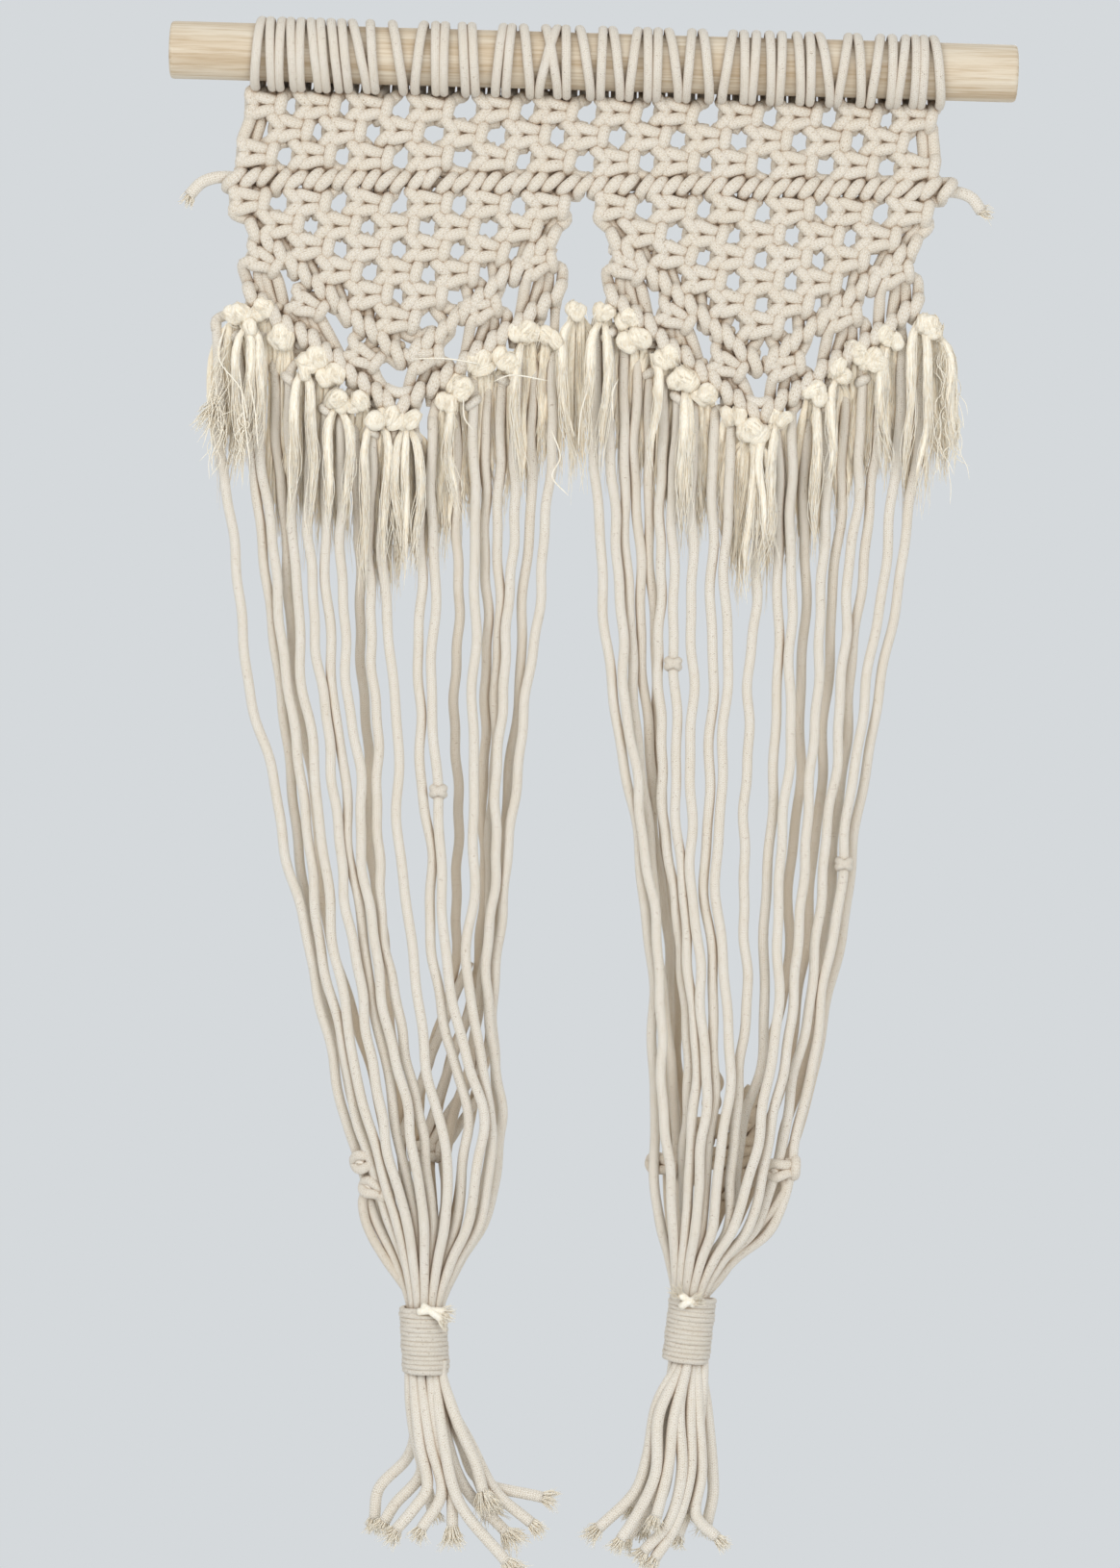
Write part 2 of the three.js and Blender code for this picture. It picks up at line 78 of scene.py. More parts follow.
# Hanging cords: heights, half of the sheaf's depth there, then layer (-1 front to 1 back), x
# at the border, and x at each height.
LEVELS = [-200, -246, -291, -337, -382, -428, -473, -496, -519, -550]
HALF_DEPTH = [3, 4, 6.5, 9.5, 12, 15, 18.5, 20, 20, 16]
LEFT_CORDS = [
    [-0.25, -175.5, -170, -161.5, -157, -144, -134, -121.5, -111, -105.5, -97, -88],
    [0.4, -166, -156, -148, -142.5, -134, -129.5, -119, -107.5, -100.5, -92.5, -84.5],
    [-0.6, -157, -151.5, -143, -138.5, -129, -123.5, -115.5, -104.5, -99, -91.5, -81.5],
    [0.9, -147.5, -143.5, -138, -134.5, -125, -120, -111.5, -94.5, -89, -85, -80],
    [-0.85, -140, -138, -134, -130, -122.5, -116.5, -109, -100, -94, -87.5, -77.5],
    [-1, -130, -129.5, -127, -121.5, -114, -108.5, -100, -91, -87, -81.5, -72.5],
    [-0.7, -122, -122, -119.5, -116, -109, -103.5, -95, -86, -80, -76, -68.5],
    [-1, -115, -114.5, -112, -109, -101.5, -98, -90, -80.5, -74, -69.5, -64.5],
    [1, -108, -106.5, -104.5, -101.5, -98, -94.5, -87.5, -81.5, -79, -77, -72.5],
    [-0.7, -100, -99.5, -99.5, -96, -92.5, -91, -85, -74.5, -69, -65, -60.5],
    [-1, -90, -92, -93, -86.5, -83, -80.5, -72, -66.5, -59.5, -54.5, -54.5],
    [-0.7, -80, -76.5, -75, -74.5, -72, -66, -64, -52.5, -46, -46.5, -49],
    [-1, -71.5, -71, -68.5, -68, -65.5, -60.5, -58, -45.5, -38, -40, -43.5],
    [1, -60.5, -59.5, -57, -57.5, -55.5, -54, -54, -64, -68.5, -70.5, -66.5],
    [-0.75, -52.5, -51, -49, -48.5, -47.5, -45.5, -47.5, -40, -34, -34.5, -38],
    [1, -46, -46, -44, -42.5, -43, -41.5, -42.5, -53.5, -59.5, -63, -61],
    [0.45, -39, -39.5, -38, -37.5, -38, -38.5, -39, -45.5, -50.5, -55, -55.5],
    [-0.3, -32, -32, -32, -34.5, -36, -36, -38, -34.5, -29, -30, -36],
    [0.95, -24, -24, -25.5, -27, -30, -32.5, -34.5, -38.5, -43, -46.5, -50.5],
    [0.05, -15, -15.5, -18, -22, -27, -30, -34.5, -33.5, -32.5, -34, -41.5],
]
RIGHT_CORDS = [
    [-0.3, 5, 7, 11.5, 16, 25.5, 33.5, 39.5, 42, 43, 43, 47.5],
    [-0.8, 11, 14.5, 19.5, 22.5, 29.5, 36.5, 43.5, 45, 47.5, 50, 53],
    [0.1, 18.5, 20, 24, 26.5, 33, 38.5, 44, 49.5, 53.5, 55, 57.5],
    [0.6, 25, 25.5, 29.5, 32, 37, 42, 48.5, 50, 50.5, 50, 52.5],
    [1, 31, 31.5, 35, 38, 41.5, 45, 51.5, 54.5, 57.5, 59, 61],
    [-0.45, 37.5, 38, 38.5, 39.5, 42, 47, 54.5, 57.5, 59, 57, 59],
    [-0.8, 44.5, 43.5, 44.5, 47, 48.5, 52, 57.5, 61.5, 61.5, 60, 59],
    [-1, 52, 52.5, 53.5, 55, 55.5, 57, 62, 66, 66.5, 65, 63.5],
    [-0.75, 62.5, 62, 63, 64.5, 64.5, 63.5, 68, 70.5, 69.5, 68.5, 66.5],
    [-1, 70.5, 69.5, 69.5, 71.5, 70, 69, 73, 78.5, 75.5, 73.5, 71.5],
    [-0.7, 81, 83.5, 84, 82, 82, 81.5, 84.5, 83, 81, 79.5, 79],
    [-0.3, 91.5, 93.5, 95, 95, 95.5, 92.5, 93.5, 92, 86.5, 83, 80.5],
    [-1, 98.5, 99.5, 100.5, 101.5, 101.5, 98, 99.5, 97, 93, 89, 81],
    [1, 106.5, 106, 107.5, 107.5, 107.5, 105, 104.5, 96, 93, 86, 74],
    [-0.8, 115, 115.5, 115.5, 114, 112.5, 109.5, 108, 102.5, 99, 95.5, 88],
    [0.9, 124, 123.5, 121, 119.5, 118, 115, 112, 106, 100, 94.5, 83.5],
    [-0.4, 132, 131, 127.5, 126, 123.5, 119, 116.5, 109.5, 105.5, 101.5, 92],
    [0.6, 140, 138, 133.5, 130.5, 127.5, 124, 119, 113, 108, 103, 91.5],
    [-0.3, 150.5, 148, 143.5, 138, 132, 128.5, 122.5, 116.5, 112, 109, 99.5],
    [0.3, 161.5, 157, 151, 145, 137.5, 133, 126.5, 118.5, 113, 108, 97],
]

# Where each sheaf closes: axis and top of its wrap.
LEFT_WRAP = (-63, -591)
RIGHT_WRAP = (62.5, -582)

# Loose tails below the wraps: [x, y, z] points from the foot of the wrap to the frayed tip.
LEFT_TAILS = [
    [[-67, 4], [-63.5, -2, -655], [-59.5, -3, -676], [-65.5, -4, -686], [-73.5, -4, -696]],
    [[-64, 3], [-58.5, -3, -655], [-52.5, -4, -678], [-61.5, -6, -695]],
    [[-60, 2], [-54.5, -2, -655], [-48, -2, -678], [-47, -2, -694]],
    [[-57, 3], [-50.5, 2, -655], [-42, 4, -676], [-22, 6, -697]],
    [[-58, 2], [-52, -5, -655], [-44, -7, -682], [-21, -8, -709]],
    [[-60, 10], [-44.5, 8, -655], [-35.5, 9, -673], [-5, 10, -681]],
    [[-59, 5], [-40, 2, -655], [-27, 3, -678], [-10, 3, -692]],
    [[-66, 10], [-66.5, 12, -655], [-70, 14, -665], [-83, 15, -680], [-84.5, 14, -694]],
    [[-63, 11], [-63.5, 8, -655], [-63, 6, -671], [-75, 6, -686], [-79.5, 5, -694]],
    [[-69, 7], [-67, 5, -648], [-62, 6, -668], [-57, 8, -688]],
    [[-56, 6], [-47, 6, -648], [-38, 8, -668], [-31, 9, -684]],
    [[-55, 1], [-46, -2, -645], [-37, -2, -664], [-33, -3, -677]],
]
RIGHT_TAILS = [
    [[58, 3], [48, 0, -634], [44, -1, -659], [39, -1, -675], [22, -2, -693]],
    [[60, 2], [49, -5, -638], [48, -7, -666], [40, -7, -685], [32.5, -8, -697]],
    [[58, 10], [51, 6, -638], [51, 5, -661], [46, 5, -682], [36, 4, -698]],
    [[60, 11], [55.5, 12, -652], [52.5, 12, -677], [44, 12, -694]],
    [[62, 3], [58.5, -2, -634], [60.5, -4, -666], [55, -4, -689], [43.5, -4, -703]],
    [[64, 3], [64, 0, -640], [64.5, -2, -666], [58, -3, -691], [49, -4, -706]],
    [[64, 11], [66, 10, -652], [65.5, 9, -679], [60, 8, -697]],
    [[66, 4], [67.5, 2, -634], [70, 1, -666], [68, 0, -686], [78, 0, -696]],
    [[67, 8], [71.5, 8, -634], [75.5, 8, -666], [76, 8, -677], [73.5, 8, -691]],
    [[69, 5], [68.5, 4, -640], [66, 4, -662], [63, 6, -684]],
    [[56, 7], [53, 8, -640], [46.5, 9, -664], [38, 9, -684]],
    [[62, -1], [56, -4, -640], [54, -6, -662], [49, -7, -686]],
]

# ---------------------------------------------------------------- camera

# Square on to the hanger from 2.2 m, rolled so that the dowel falls a little to the right.
VIEW_DISTANCE = 2.2
VIEW_HEIGHT = 0.7417  # what the long side of the picture spans at the hanger
VIEW_CENTRE = (-0.0062, 0, -0.3419)
ROLL = math.radians(1.63)

camera_data = bpy.data.cameras.new("camera")
camera_data.sensor_width = 36
camera_data.lens = 36 * VIEW_DISTANCE / VIEW_HEIGHT
camera_data.clip_start = 0.05
camera_data.clip_end = 50
camera = bpy.data.objects.new("camera", camera_data)
camera.matrix_world = Matrix((
    (math.cos(ROLL), -math.sin(ROLL), 0, VIEW_CENTRE[0]),
    (0, 0, -1, -VIEW_DISTANCE),
    (math.sin(ROLL), math.cos(ROLL), 0, VIEW_CENTRE[2]),
    (0, 0, 0, 1),
))
bpy.context.scene.collection.objects.link(camera)
bpy.context.scene.camera = camera
bpy.context.scene.view_settings.view_transform = "Standard"


# ---------------------------------------------------------------- curves

def between(a, b, start, end, at):
    """Where a line that leaves a at start and reaches b at end is at a time."""
    return ((end - at) * a + (at - start) * b) / (end - start)


def smooth_line(points, spacing):
    """A centripetal Catmull-Rom curve through the points, at even steps along its length."""
    p = np.asarray(points, float)
    p = np.vstack([2 * p[0] - p[1], p, 2 * p[-1] - p[-2]])
    t = np.concatenate([[0], np.cumsum(np.sqrt(np.linalg.norm(np.diff(p, axis=0), axis=1)))])
    runs = []
    for i in range(1, len(p) - 2):
        n = max(3, int(np.linalg.norm(p[i + 1] - p[i]) / spacing * 2) + 1)
        at = np.linspace(t[i], t[i + 1], n, endpoint=False)[:, None]
        a1, a2, a3 = (between(p[k], p[k + 1], t[k], t[k + 1], at) for k in (i - 1, i, i + 1))
        b1 = between(a1, a2, t[i - 1], t[i + 1], at)
        b2 = between(a2, a3, t[i], t[i + 2], at)
        runs.append(between(b1, b2, t[i], t[i + 1], at))
    return even_steps(np.vstack(runs + [p[-2:-1]]), spacing)


def even_steps(line, spacing):
    """The same line in even steps, with everything that it carries beside x, y and z."""
    along = arc_lengths(line)
    n = max(2, int(round(along[-1] / spacing)) + 1)
    s = np.linspace(0, along[-1], n)
    return np.stack([np.interp(s, along, column) for column in line.T], 1)


def arc_lengths(line):
    steps = np.linalg.norm(np.diff(line[:, :3], axis=0), axis=1)
    return np.concatenate([[0], np.cumsum(steps)])


def unit(v):
    return v / np.maximum(np.linalg.norm(v, axis=-1, keepdims=True), 1e-12)


def height_at(line, x):
    """Height of a broken line of [x, z] points at x."""
    return float(np.interp(x, *zip(*line)))


def shifted(x, y, z, offsets):
    """Points at the offsets from x, y and z."""
    return [(x + dx, y + dy, z + dz) for dx, dy, dz in offsets]


# ---------------------------------------------------------------- meshes of many tubes

HAIR_SIDES = 3


def add_mesh(name, points, faces, material):
    """A smooth mesh object, with its points in metres."""
    mesh = bpy.data.meshes.new(name)
    mesh.from_pydata(points, [], faces)
    mesh.polygons.foreach_set("use_smooth", np.ones(len(faces), bool))
    mesh.materials.append(material)
    mesh.update()
    thing = bpy.data.objects.new(name, mesh)
    bpy.context.scene.collection.objects.link(thing)
    return thing


def place(thing, slot, *nodes):
    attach(thing, "root")
    if nodes:
        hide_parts(*nodes)
    return thing


def ring_offsets(side, other, sides):
    """Unit offsets round every point of a tube, from two directions across it."""
    angle = (2 * np.pi * np.arange(sides) / sides)[:, None]
    return side[..., None, :] * np.cos(angle) + other[..., None, :] * np.sin(angle)


class Skein:
    """Many tubes in one mesh, with a braid map along each, and a tone for each ring that also
    carries painted shade.
    """

    def __init__(self):
        self.points, self.tones, self.count = [], [], 0
        self.quads, self.tris, self.quad_uvs, self.tri_uvs = [], [], [], []

    def tube(self, line, radius, sides=10, tone=0.0, cap=True, squash=None):
        """One tube along the line (mm). radius and tone can vary from ring to ring. squash is
        a direction, and how much of the radius is left in it, for all rings or each one."""
        line = np.asarray(line, float)
        n = len(line)
        radius = np.broadcast_to(np.asarray(radius, float), n)
        tone = np.broadcast_to(np.asarray(tone, float), n)
        tangent = unit(np.gradient(line, axis=0))
        side = np.zeros_like(line)
        last = np.array([1.0, 0, 0]) if abs(tangent[0][0]) < 0.8 else np.array([0, 1.0, 0])
        for i in range(n):
            last = side[i] = unit(last - tangent[i] * np.dot(last, tangent[i]))
        ring = ring_offsets(side, np.cross(tangent, side), sides)
        if squash is not None:
            press, kept = squash
            press = unit(press - tangent * np.sum(press * tangent, 1, keepdims=True))[:, None]
            depth = np.sum(ring * press, 2, keepdims=True)
            ring = ring - depth * press * (1 - np.broadcast_to(kept, n))[:, None, None]
        points = line[:, None] + ring * radius[:, None, None]
        v = arc_lengths(line) / (2 * np.pi * max(radius.max(), 1e-6))
        base = self._grid(points[None], tone[None], v)
        for end in (0, n - 1) if cap else ():
            ring = base + end * sides + np.arange(sides)
            after = np.roll(ring, -1)
            middle = np.full(sides, self._add(line[end], tone[end: end + 1]))
            order = (ring, after, middle) if end else (ring, middle, after)
            self.tris.append(np.stack(order, -1))
            self.tri_uvs.append(np.full((sides * 3, 2), v[end]))

    def curve(self, points, spacing, radius, sides=10, tone=0.0):
        """One tube along the smooth line through the points."""
        self.tube(smooth_line(points, spacing), radius, sides, tone)

    def hairs(self, lines, radius, tone):
        """Many thin strands with the same number of points: lines is (strands, points, 3)."""
        count, n, _ = lines.shape
        tangent = unit(np.gradient(lines, axis=1))
        side = unit(np.cross(tangent, [0.31, 0.95, 0.05]))
        ring = ring_offsets(side, np.cross(tangent, side), HAIR_SIDES)
        radius = np.broadcast_to(radius, (count, n))
        tone = np.broadcast_to(np.clip(tone, 0, 1), (count, n))
        self._grid(lines[:, :, None] + ring * radius[..., None, None], tone, np.arange(n) / n)

    def _add(self, points, tone):
        """Adds points and says where they begin."""
        base = self.count
        self.points.append(points.reshape(-1, 3))
        self.tones.append(tone)
        self.count += len(self.points[-1])
        return base

    def _grid(self, points, tone, v):
        """Adds the quads of tubes: points is (tubes, rings, sides, 3)."""
        tubes, rings, sides, _ = points.shape
        base = self._add(points, np.repeat(tone.reshape(-1), sides))
        sizes = (tubes, rings - 1, sides)
        tube, i, j = np.meshgrid(*(np.arange(size) for size in sizes), indexing="ij")
        low = base + (tube * rings + i) * sides
        k = (j + 1) % sides
        quads = np.stack([low + j, low + k, low + sides + k, low + sides + j], -1)
        corners = ((j, v[i]), (j + 1, v[i]), (j + 1, v[i + 1]), (j, v[i + 1]))
        uvs = np.stack([np.stack([u / sides, height], -1) for u, height in corners], -2)
        self.quads.append(quads.reshape(-1, 4))
        self.quad_uvs.append(uvs.reshape(-1, 2))
        return base

    def build(self, name, material):
        points = np.concatenate(self.points) * MM
        faces = np.concatenate(self.quads).tolist() + np.concatenate(self.tris).tolist()
        thing = add_mesh(name, points.tolist(), faces, material)
        uv = thing.data.uv_layers.new(name="cord")
        uv.data.foreach_set("uv", np.concatenate(self.quad_uvs + self.tri_uvs).ravel())
        tone = thing.data.attributes.new("tone", "FLOAT", "POINT")
        tone.data.foreach_set("value", np.concatenate(self.tones))
        return thing


# ---------------------------------------------------------------- materials

def srgb(*channels):
    def linear(c):
        c /= 255
        return c / 12.92 if c <= 0.04045 else ((c + 0.055) / 1.055) ** 2.4
    return (*map(linear, channels), 1)


WHITE, BLACK = (1, 1, 1, 1), (0, 0, 0, 1)
CREAM, SHADE = srgb(233, 228, 219), srgb(196, 178, 149)
BRAID_COLUMNS = 8
BRAID_STITCHES = 14  # along one girth of cord


class Nodes:
    """Short calls for building a material."""

    def __init__(self, name):
        self.material = bpy.data.materials.new(name)
        self.material.use_nodes = True
        self.tree = self.material.node_tree
        self.tree.nodes.clear()
        self.shader = self.node("ShaderNodeBsdfPrincipled")
        self.node("ShaderNodeOutputMaterial", {"Surface": self.shader.outputs["BSDF"]})

    def node(self, kind, inputs=None, **settings):
        made = self.tree.nodes.new(kind)
        for key, value in settings.items():
            setattr(made, key, value)
        for key, value in (inputs or {}).items():
            self.set(made.inputs[key], value)
        return made

    def set(self, socket, value):
        if isinstance(value, bpy.types.NodeSocket):
            self.tree.links.new(value, socket)
        else:
            socket.default_value = value

    def place_at(self, scale=None):
        """The place on the object, stretched where there is a scale."""
        at = self.node("ShaderNodeTexCoord").outputs["Object"]
        if scale is None:
            return at
        return self.node("ShaderNodeMapping", {"Vector": at, "Scale": scale}).outputs["Vector"]

    def tone(self):
        return self.node("ShaderNodeAttribute", attribute_name="tone").outputs["Fac"]

    def math(self, operation, *values):
        return self.node("ShaderNodeMath", dict(enumerate(values)), operation=operation).outputs[0]

    def times(self, a, b):
        return self.math("MULTIPLY", a, b)

    def ramp(self, value, stops):
        made = self.node("ShaderNodeValToRGB", {"Fac": value})
        elements = made.color_ramp.elements
        while len(elements) < len(stops):
            elements.new(0.5)
        for element, (position, colour) in zip(elements, stops):
            element.position = position
            element.color = colour
        return made.outputs["Color"]

    def mix(self, factor, a, b, blend="MIX"):
        inputs = {0: factor, 6: a, 7: b}
        return self.node("ShaderNodeMix", inputs, data_type="RGBA", blend_type=blend).outputs[2]

    def noise(self, at, scale, detail, roughness):
        inputs = {"Vector": at, "Scale": scale, "Detail": detail, "Roughness": roughness}
        return self.node("ShaderNodeTexNoise", inputs).outputs["Fac"]

    def painted_crevice_shade(self, colour, reach, deep, clear, strength, shade_colour):
        """Painted shade: darkens and tints the colour where it is shut in by what lies within
        reach, as in creases and between cords.
        """
        ao = self.node("ShaderNodeAmbientOcclusion", {"Distance": reach}, samples=6)
        crevice_shade = self.ramp(ao.outputs["AO"], [(deep, WHITE), (clear, BLACK)])
        return self.mix(self.times(crevice_shade, strength), colour, shade_colour, "MULTIPLY")

    def surface(self, colour, height, strength, depth, gloss):
        """Sets the shader's colour, relief and gloss."""
        relief = {"Height": height, "Strength": strength, "Distance": depth}
        normal = self.node("ShaderNodeBump", relief).outputs["Normal"]
        for key, value in {"Base Color": colour, "Normal": normal, **gloss}.items():
            self.set(self.shader.inputs[key], value)
        return self.material


def cord_material():
    """Braided cotton: columns of slanting stitches that meet in Vs, with brown flecks, painted
    shade in the grooves and crevices, and cords painted darker at the back.
    """
    n = Nodes("braided_cotton")
    uv = n.node("ShaderNodeUVMap", uv_map="cord").outputs["UV"]
    u, v, _ = n.node("ShaderNodeSeparateXYZ", {"Vector": uv}).outputs
    at = n.place_at()
    fine, broad = n.noise(at, 2600, 3, 0.6), n.noise(at, 70, 2, 0.5)
    slant = n.math("PINGPONG", n.times(u, 2 * BRAID_COLUMNS), 1)
    climb = n.math("MULTIPLY_ADD", v, BRAID_STITCHES, n.times(slant, 0.75))
    climb = n.math("MULTIPLY_ADD", fine, 0.35, climb)
    ridge = n.math("MULTIPLY_ADD", n.math("COSINE", n.times(climb, 2 * math.pi)), 0.5, 0.5)
    seam = n.math("ABSOLUTE", n.math("SINE", n.times(u, 2 * math.pi * BRAID_COLUMNS)))
    stitch = n.times(n.math("POWER", ridge, 0.5), n.math("MINIMUM", n.times(seam, 2.2), 1))
    # Painted shade: the grooves between stitches are painted darker (SHADE), mixed with fine fibre
    # tone that varies at random.
    shade = n.math("ADD", n.times(stitch, 0.22), n.times(fine, 0.8))
    body = n.ramp(shade, [(0.24, SHADE), (0.56, CREAM), (1, CREAM)])
    colour = n.mix(n.times(broad, 0.4), body, srgb(236, 223, 200), "MULTIPLY")
    fleck = n.ramp(n.noise(at, 1100, 1, 0.5), [(0.66, BLACK), (0.72, WHITE)])
    fleck = n.times(fleck, n.math("SUBTRACT", 1, n.times(stitch, 0.8)))
    colour = n.mix(n.times(fleck, 0.75), colour, srgb(136, 104, 70))
    # Painted shade: the tone paints cords darker and browner at the back of the sheaves and
    # slings; small fixed tones make the net, loops and wraps a little darker.
    colour = n.mix(n.tone(), colour, srgb(190, 164, 128))
    # Painted shade: crevices between cords, knots and turns are tinted brown.
    colour = n.painted_crevice_shade(colour, 0.0035, 0.15, 0.7, 0.75, srgb(196, 164, 124))
    relief = n.math("ADD", n.times(stitch, 0.9), n.times(fine, 0.5))
    return n.surface(colour, relief, 0.7, 0.0003, {
        "Roughness": 0.92, "Specular IOR Level": 0.2, "Sheen Weight": 0.2, "Sheen Roughness": 0.6,
    })


def yarn_material():
    """Combed cotton yarn, near white, with painted shade: warmer and darker deep between the
    strands and behind the cords.
    """
    n = Nodes("combed_cotton")
    fibre = n.noise(n.place_at((1, 1, 0.09)), 2700, 3, 0.6)
    streak = n.ramp(fibre, [(0.3, srgb(232, 214, 184)), (0.48, srgb(248, 242, 230)), (0.6, WHITE)])
    # Painted shade: the tone mixes in the warmer, darker colour for yarn that lies deep or behind
    # the cords.
    body = n.mix(n.tone(), srgb(252, 247, 235), srgb(243, 231, 208))
    colour = n.mix(0.7, body, streak, "MULTIPLY")
    # Painted shade: crevices between strands are tinted warm.
    colour = n.painted_crevice_shade(colour, 0.0025, 0.1, 0.75, 0.3, srgb(250, 227, 192))
    return n.surface(colour, fibre, 0.9, 0.0005, {
        "Roughness": 0.8, "Specular IOR Level": 0.25, "Sheen Weight": 0.3,
    })


def wood_material():
    """Sanded pine: fine grain lines over broad pale streaks, both along the dowel."""
    n = Nodes("pine")
    grain = n.noise(n.place_at((0.035, 1, 1)), 900, 4, 0.6)
    streak = n.noise(n.place_at((0.08, 1, 1)), 120, 3, 0.55)
    body = n.ramp(streak, [(0.32, srgb(194, 174, 146)), (0.5, srgb(210, 195, 172)),
                           (0.7, srgb(219, 208, 189))])
    lines = n.ramp(grain, [(0.35, srgb(211, 193, 165)), (0.55, WHITE)])
    colour = n.mix(0.55, body, lines, "MULTIPLY")
    return n.surface(colour, grain, 0.25, 0.0003, {"Roughness": 0.6, "Specular IOR Level": 0.35})


cord_cotton, yarn_cotton, pine = cord_material(), yarn_material(), wood_material()


# ---------------------------------------------------------------- dowel

def make_dowel():
    """The rod, a little out of round, with eased ends."""
    sides, half = 96, DOWEL_LENGTH / 2
    ends = [(0, 0.01), (0, 6), (0, 11.6), (0.25, 12.7), (0.9, 13.3)]  # in from the end, radius
    profile = [(inset - half, r) for inset, r in ends]
    profile += [(x, DOWEL_RADIUS) for x in np.linspace(-half + 2, half - 2, 60)]
    profile += [(half - inset, r) for inset, r in reversed(ends)]
    points, faces = [], []
    for i, (x, r) in enumerate(profile):
        for k in range(sides):
            a = 2 * math.pi * k / sides
            uneven = 0.06 * math.sin(3 * a + x / 60) + 0.05 * math.sin(x / 23 + 5 * a)
            reach = r + uneven if r == DOWEL_RADIUS else r
            points.append((x * MM, reach * math.cos(a) * MM, reach * math.sin(a) * MM))
            if i:
                a, b = (i - 1) * sides + k, (i - 1) * sides + (k + 1) % sides
                faces.append((a, a + sides, b + sides, b))
    place(add_mesh("dowel_rod", points, faces, pine), "dowel_wood", "dowel")


make_dowel()


# ---------------------------------------------------------------- hanging cords

CORD_SIDES = 12
PACKED = 3.1  # between the middles of cords that enter a wrap
FUNNEL = 7  # how far those middles may be from the wrap's axis
SLING_TOP = -440
PANELS = ((LEFT_BORDER, LEFT_CORDS), (RIGHT_BORDER, RIGHT_CORDS))


def cord_top(border, row):
    """Where a hanging cord passes the border: x, y, z in mm."""
    layer, x = row[:2]
    return x, SHEAF_Y + layer * TOP_HALF_DEPTH, height_at(border, x)


def cord_route(border, row):
    """Points (x, y, z) in mm from inside the border down to the end of the sheaf."""
    x, y, z = cord_top(border, row)
    levels = zip(row[2:], LEVELS, HALF_DEPTH)
    return [(x, y, z + 5)] + [(x, SHEAF_Y + row[0] * depth, z) for x, z, depth in levels]


def funnel_targets(rows, axis):
    """Where each cord of a sheaf enters its wrap, packed side by side: (x, y) in mm."""
    ends = np.array([(row[-1], SHEAF_Y + row[0] * HALF_DEPTH[-1]) for row in rows])
    spread = (ends - [ends[:, 0].mean(), SHEAF_Y]) * [0.27, 0.42]
    for _ in range(160):
        gap = spread[:, None] - spread
        distance = (np.linalg.norm(gap, axis=-1) + np.eye(len(rows)) * 99)[..., None]
        spread = spread + 0.25 * (np.clip(PACKED - distance, 0, None) * gap / distance).sum(1)
        reach = np.linalg.norm(spread, axis=-1, keepdims=True)
        spread = np.where(reach > FUNNEL, spread * FUNNEL / reach, spread)
    return spread + [axis, SHEAF_Y]


def behind(path):
    """Painted shade: the cords at the back of a sheaf are painted warmer and darker, most of all
    inside the slings.
    """
    inside = np.clip((SLING_TOP - path[:, 2]) / 50, 0, 1) * np.clip(path[:, 1] / 14, 0, 1)
    return np.clip((path[:, 1] - SHEAF_Y) / 40, 0, 0.42) + 0.2 * inside


def wobble(line):
    """Small kinks that a limp cord keeps from its packing, fading out towards its ends."""
    z = line[:, 2]
    fade = np.clip((z[0] - z) / 40, 0, 1) * np.clip((z - SHEAF_END) / 40, 0, 1)
    for axis, amount in ((0, 1), (1, 0.5)):
        for size, pitch in ((0.75, kinks.uniform(60, 95)), (0.4, kinks.uniform(26, 42))):
            wave = np.sin(2 * np.pi * z / pitch + kinks.uniform(0, 6.28))
            line[:, axis] += amount * size * fade * wave


def make_sheaf(side, border, rows, wrap, tails):
    """The hanging cords, and under them the gathered bundle with its loose tails."""
    axis, wrap_top = wrap
    foot = wrap_top - WRAP_HEIGHT
    bundle, lines = Skein(), []
    for i, (row, target) in enumerate(zip(rows, funnel_targets(rows, axis)), 1):
        route = cord_route(border, row)
        closing = np.array(route[-1][:2]) * 0.45 + target * 0.55
        route += [(*closing, (wrap_top + SHEAF_END) / 2), (*target, wrap_top - 2),
                  (*target, foot + 2)]
        line = smooth_line(route, 1.6)
        wobble(line)
        lines.append(line)
        cut = int(np.argmin(np.abs(line[:, 2] - SHEAF_END)))
        path = even_steps(line[: cut + 1], 4)
        path[-1] = line[cut]
        cord = Skein()
        cord.tube(path, CORD / 2, CORD_SIDES, behind(path))
        thing = cord.build(f"hanging_cord_{side}_{i:02d}", cord_cotton)
        place(thing, "cotton_cord", f"cord_{side}_{i:02d}")
        path = even_steps(line[cut - 3:], 2.4)
        levels = [wrap_top - 4, wrap_top + 14, SHEAF_END - 1, SHEAF_END + 2, SHEAF_END + 4.5]
        radius = np.interp(path[:, 2], levels, [1.8, 2.35, 2.5, 2.5, 2.28])
        bundle.tube(path, radius, CORD_SIDES, behind(path), cap=False)
    middle = np.array([axis, SHEAF_Y])
    for first, *rest in tails:
        near = middle + (first - middle) * [1.15, 0.8]
        line = smooth_line([(*near, foot + 8), (*near, foot + 1), *rest], 2)
        bundle.tube(line, np.interp(line[:, 2], [foot - 12, foot - 2, foot + 4], [2.75, 2.3, 1.9]))
    place(bundle.build(f"gathered_cords_{side}", cord_cotton), "cotton_cord", f"bundle_{side}")
    return lines


left_lines = make_sheaf("left", LEFT_BORDER, LEFT_CORDS, LEFT_WRAP, LEFT_TAILS)
right_lines = make_sheaf("right", RIGHT_BORDER, RIGHT_CORDS, RIGHT_WRAP, RIGHT_TAILS)


# ---------------------------------------------------------------- wraps

TURNS = 14
TWINE = 1.5  # half its thickness
TUCK = 0.3  # the part of a turn in which an end goes in behind the others


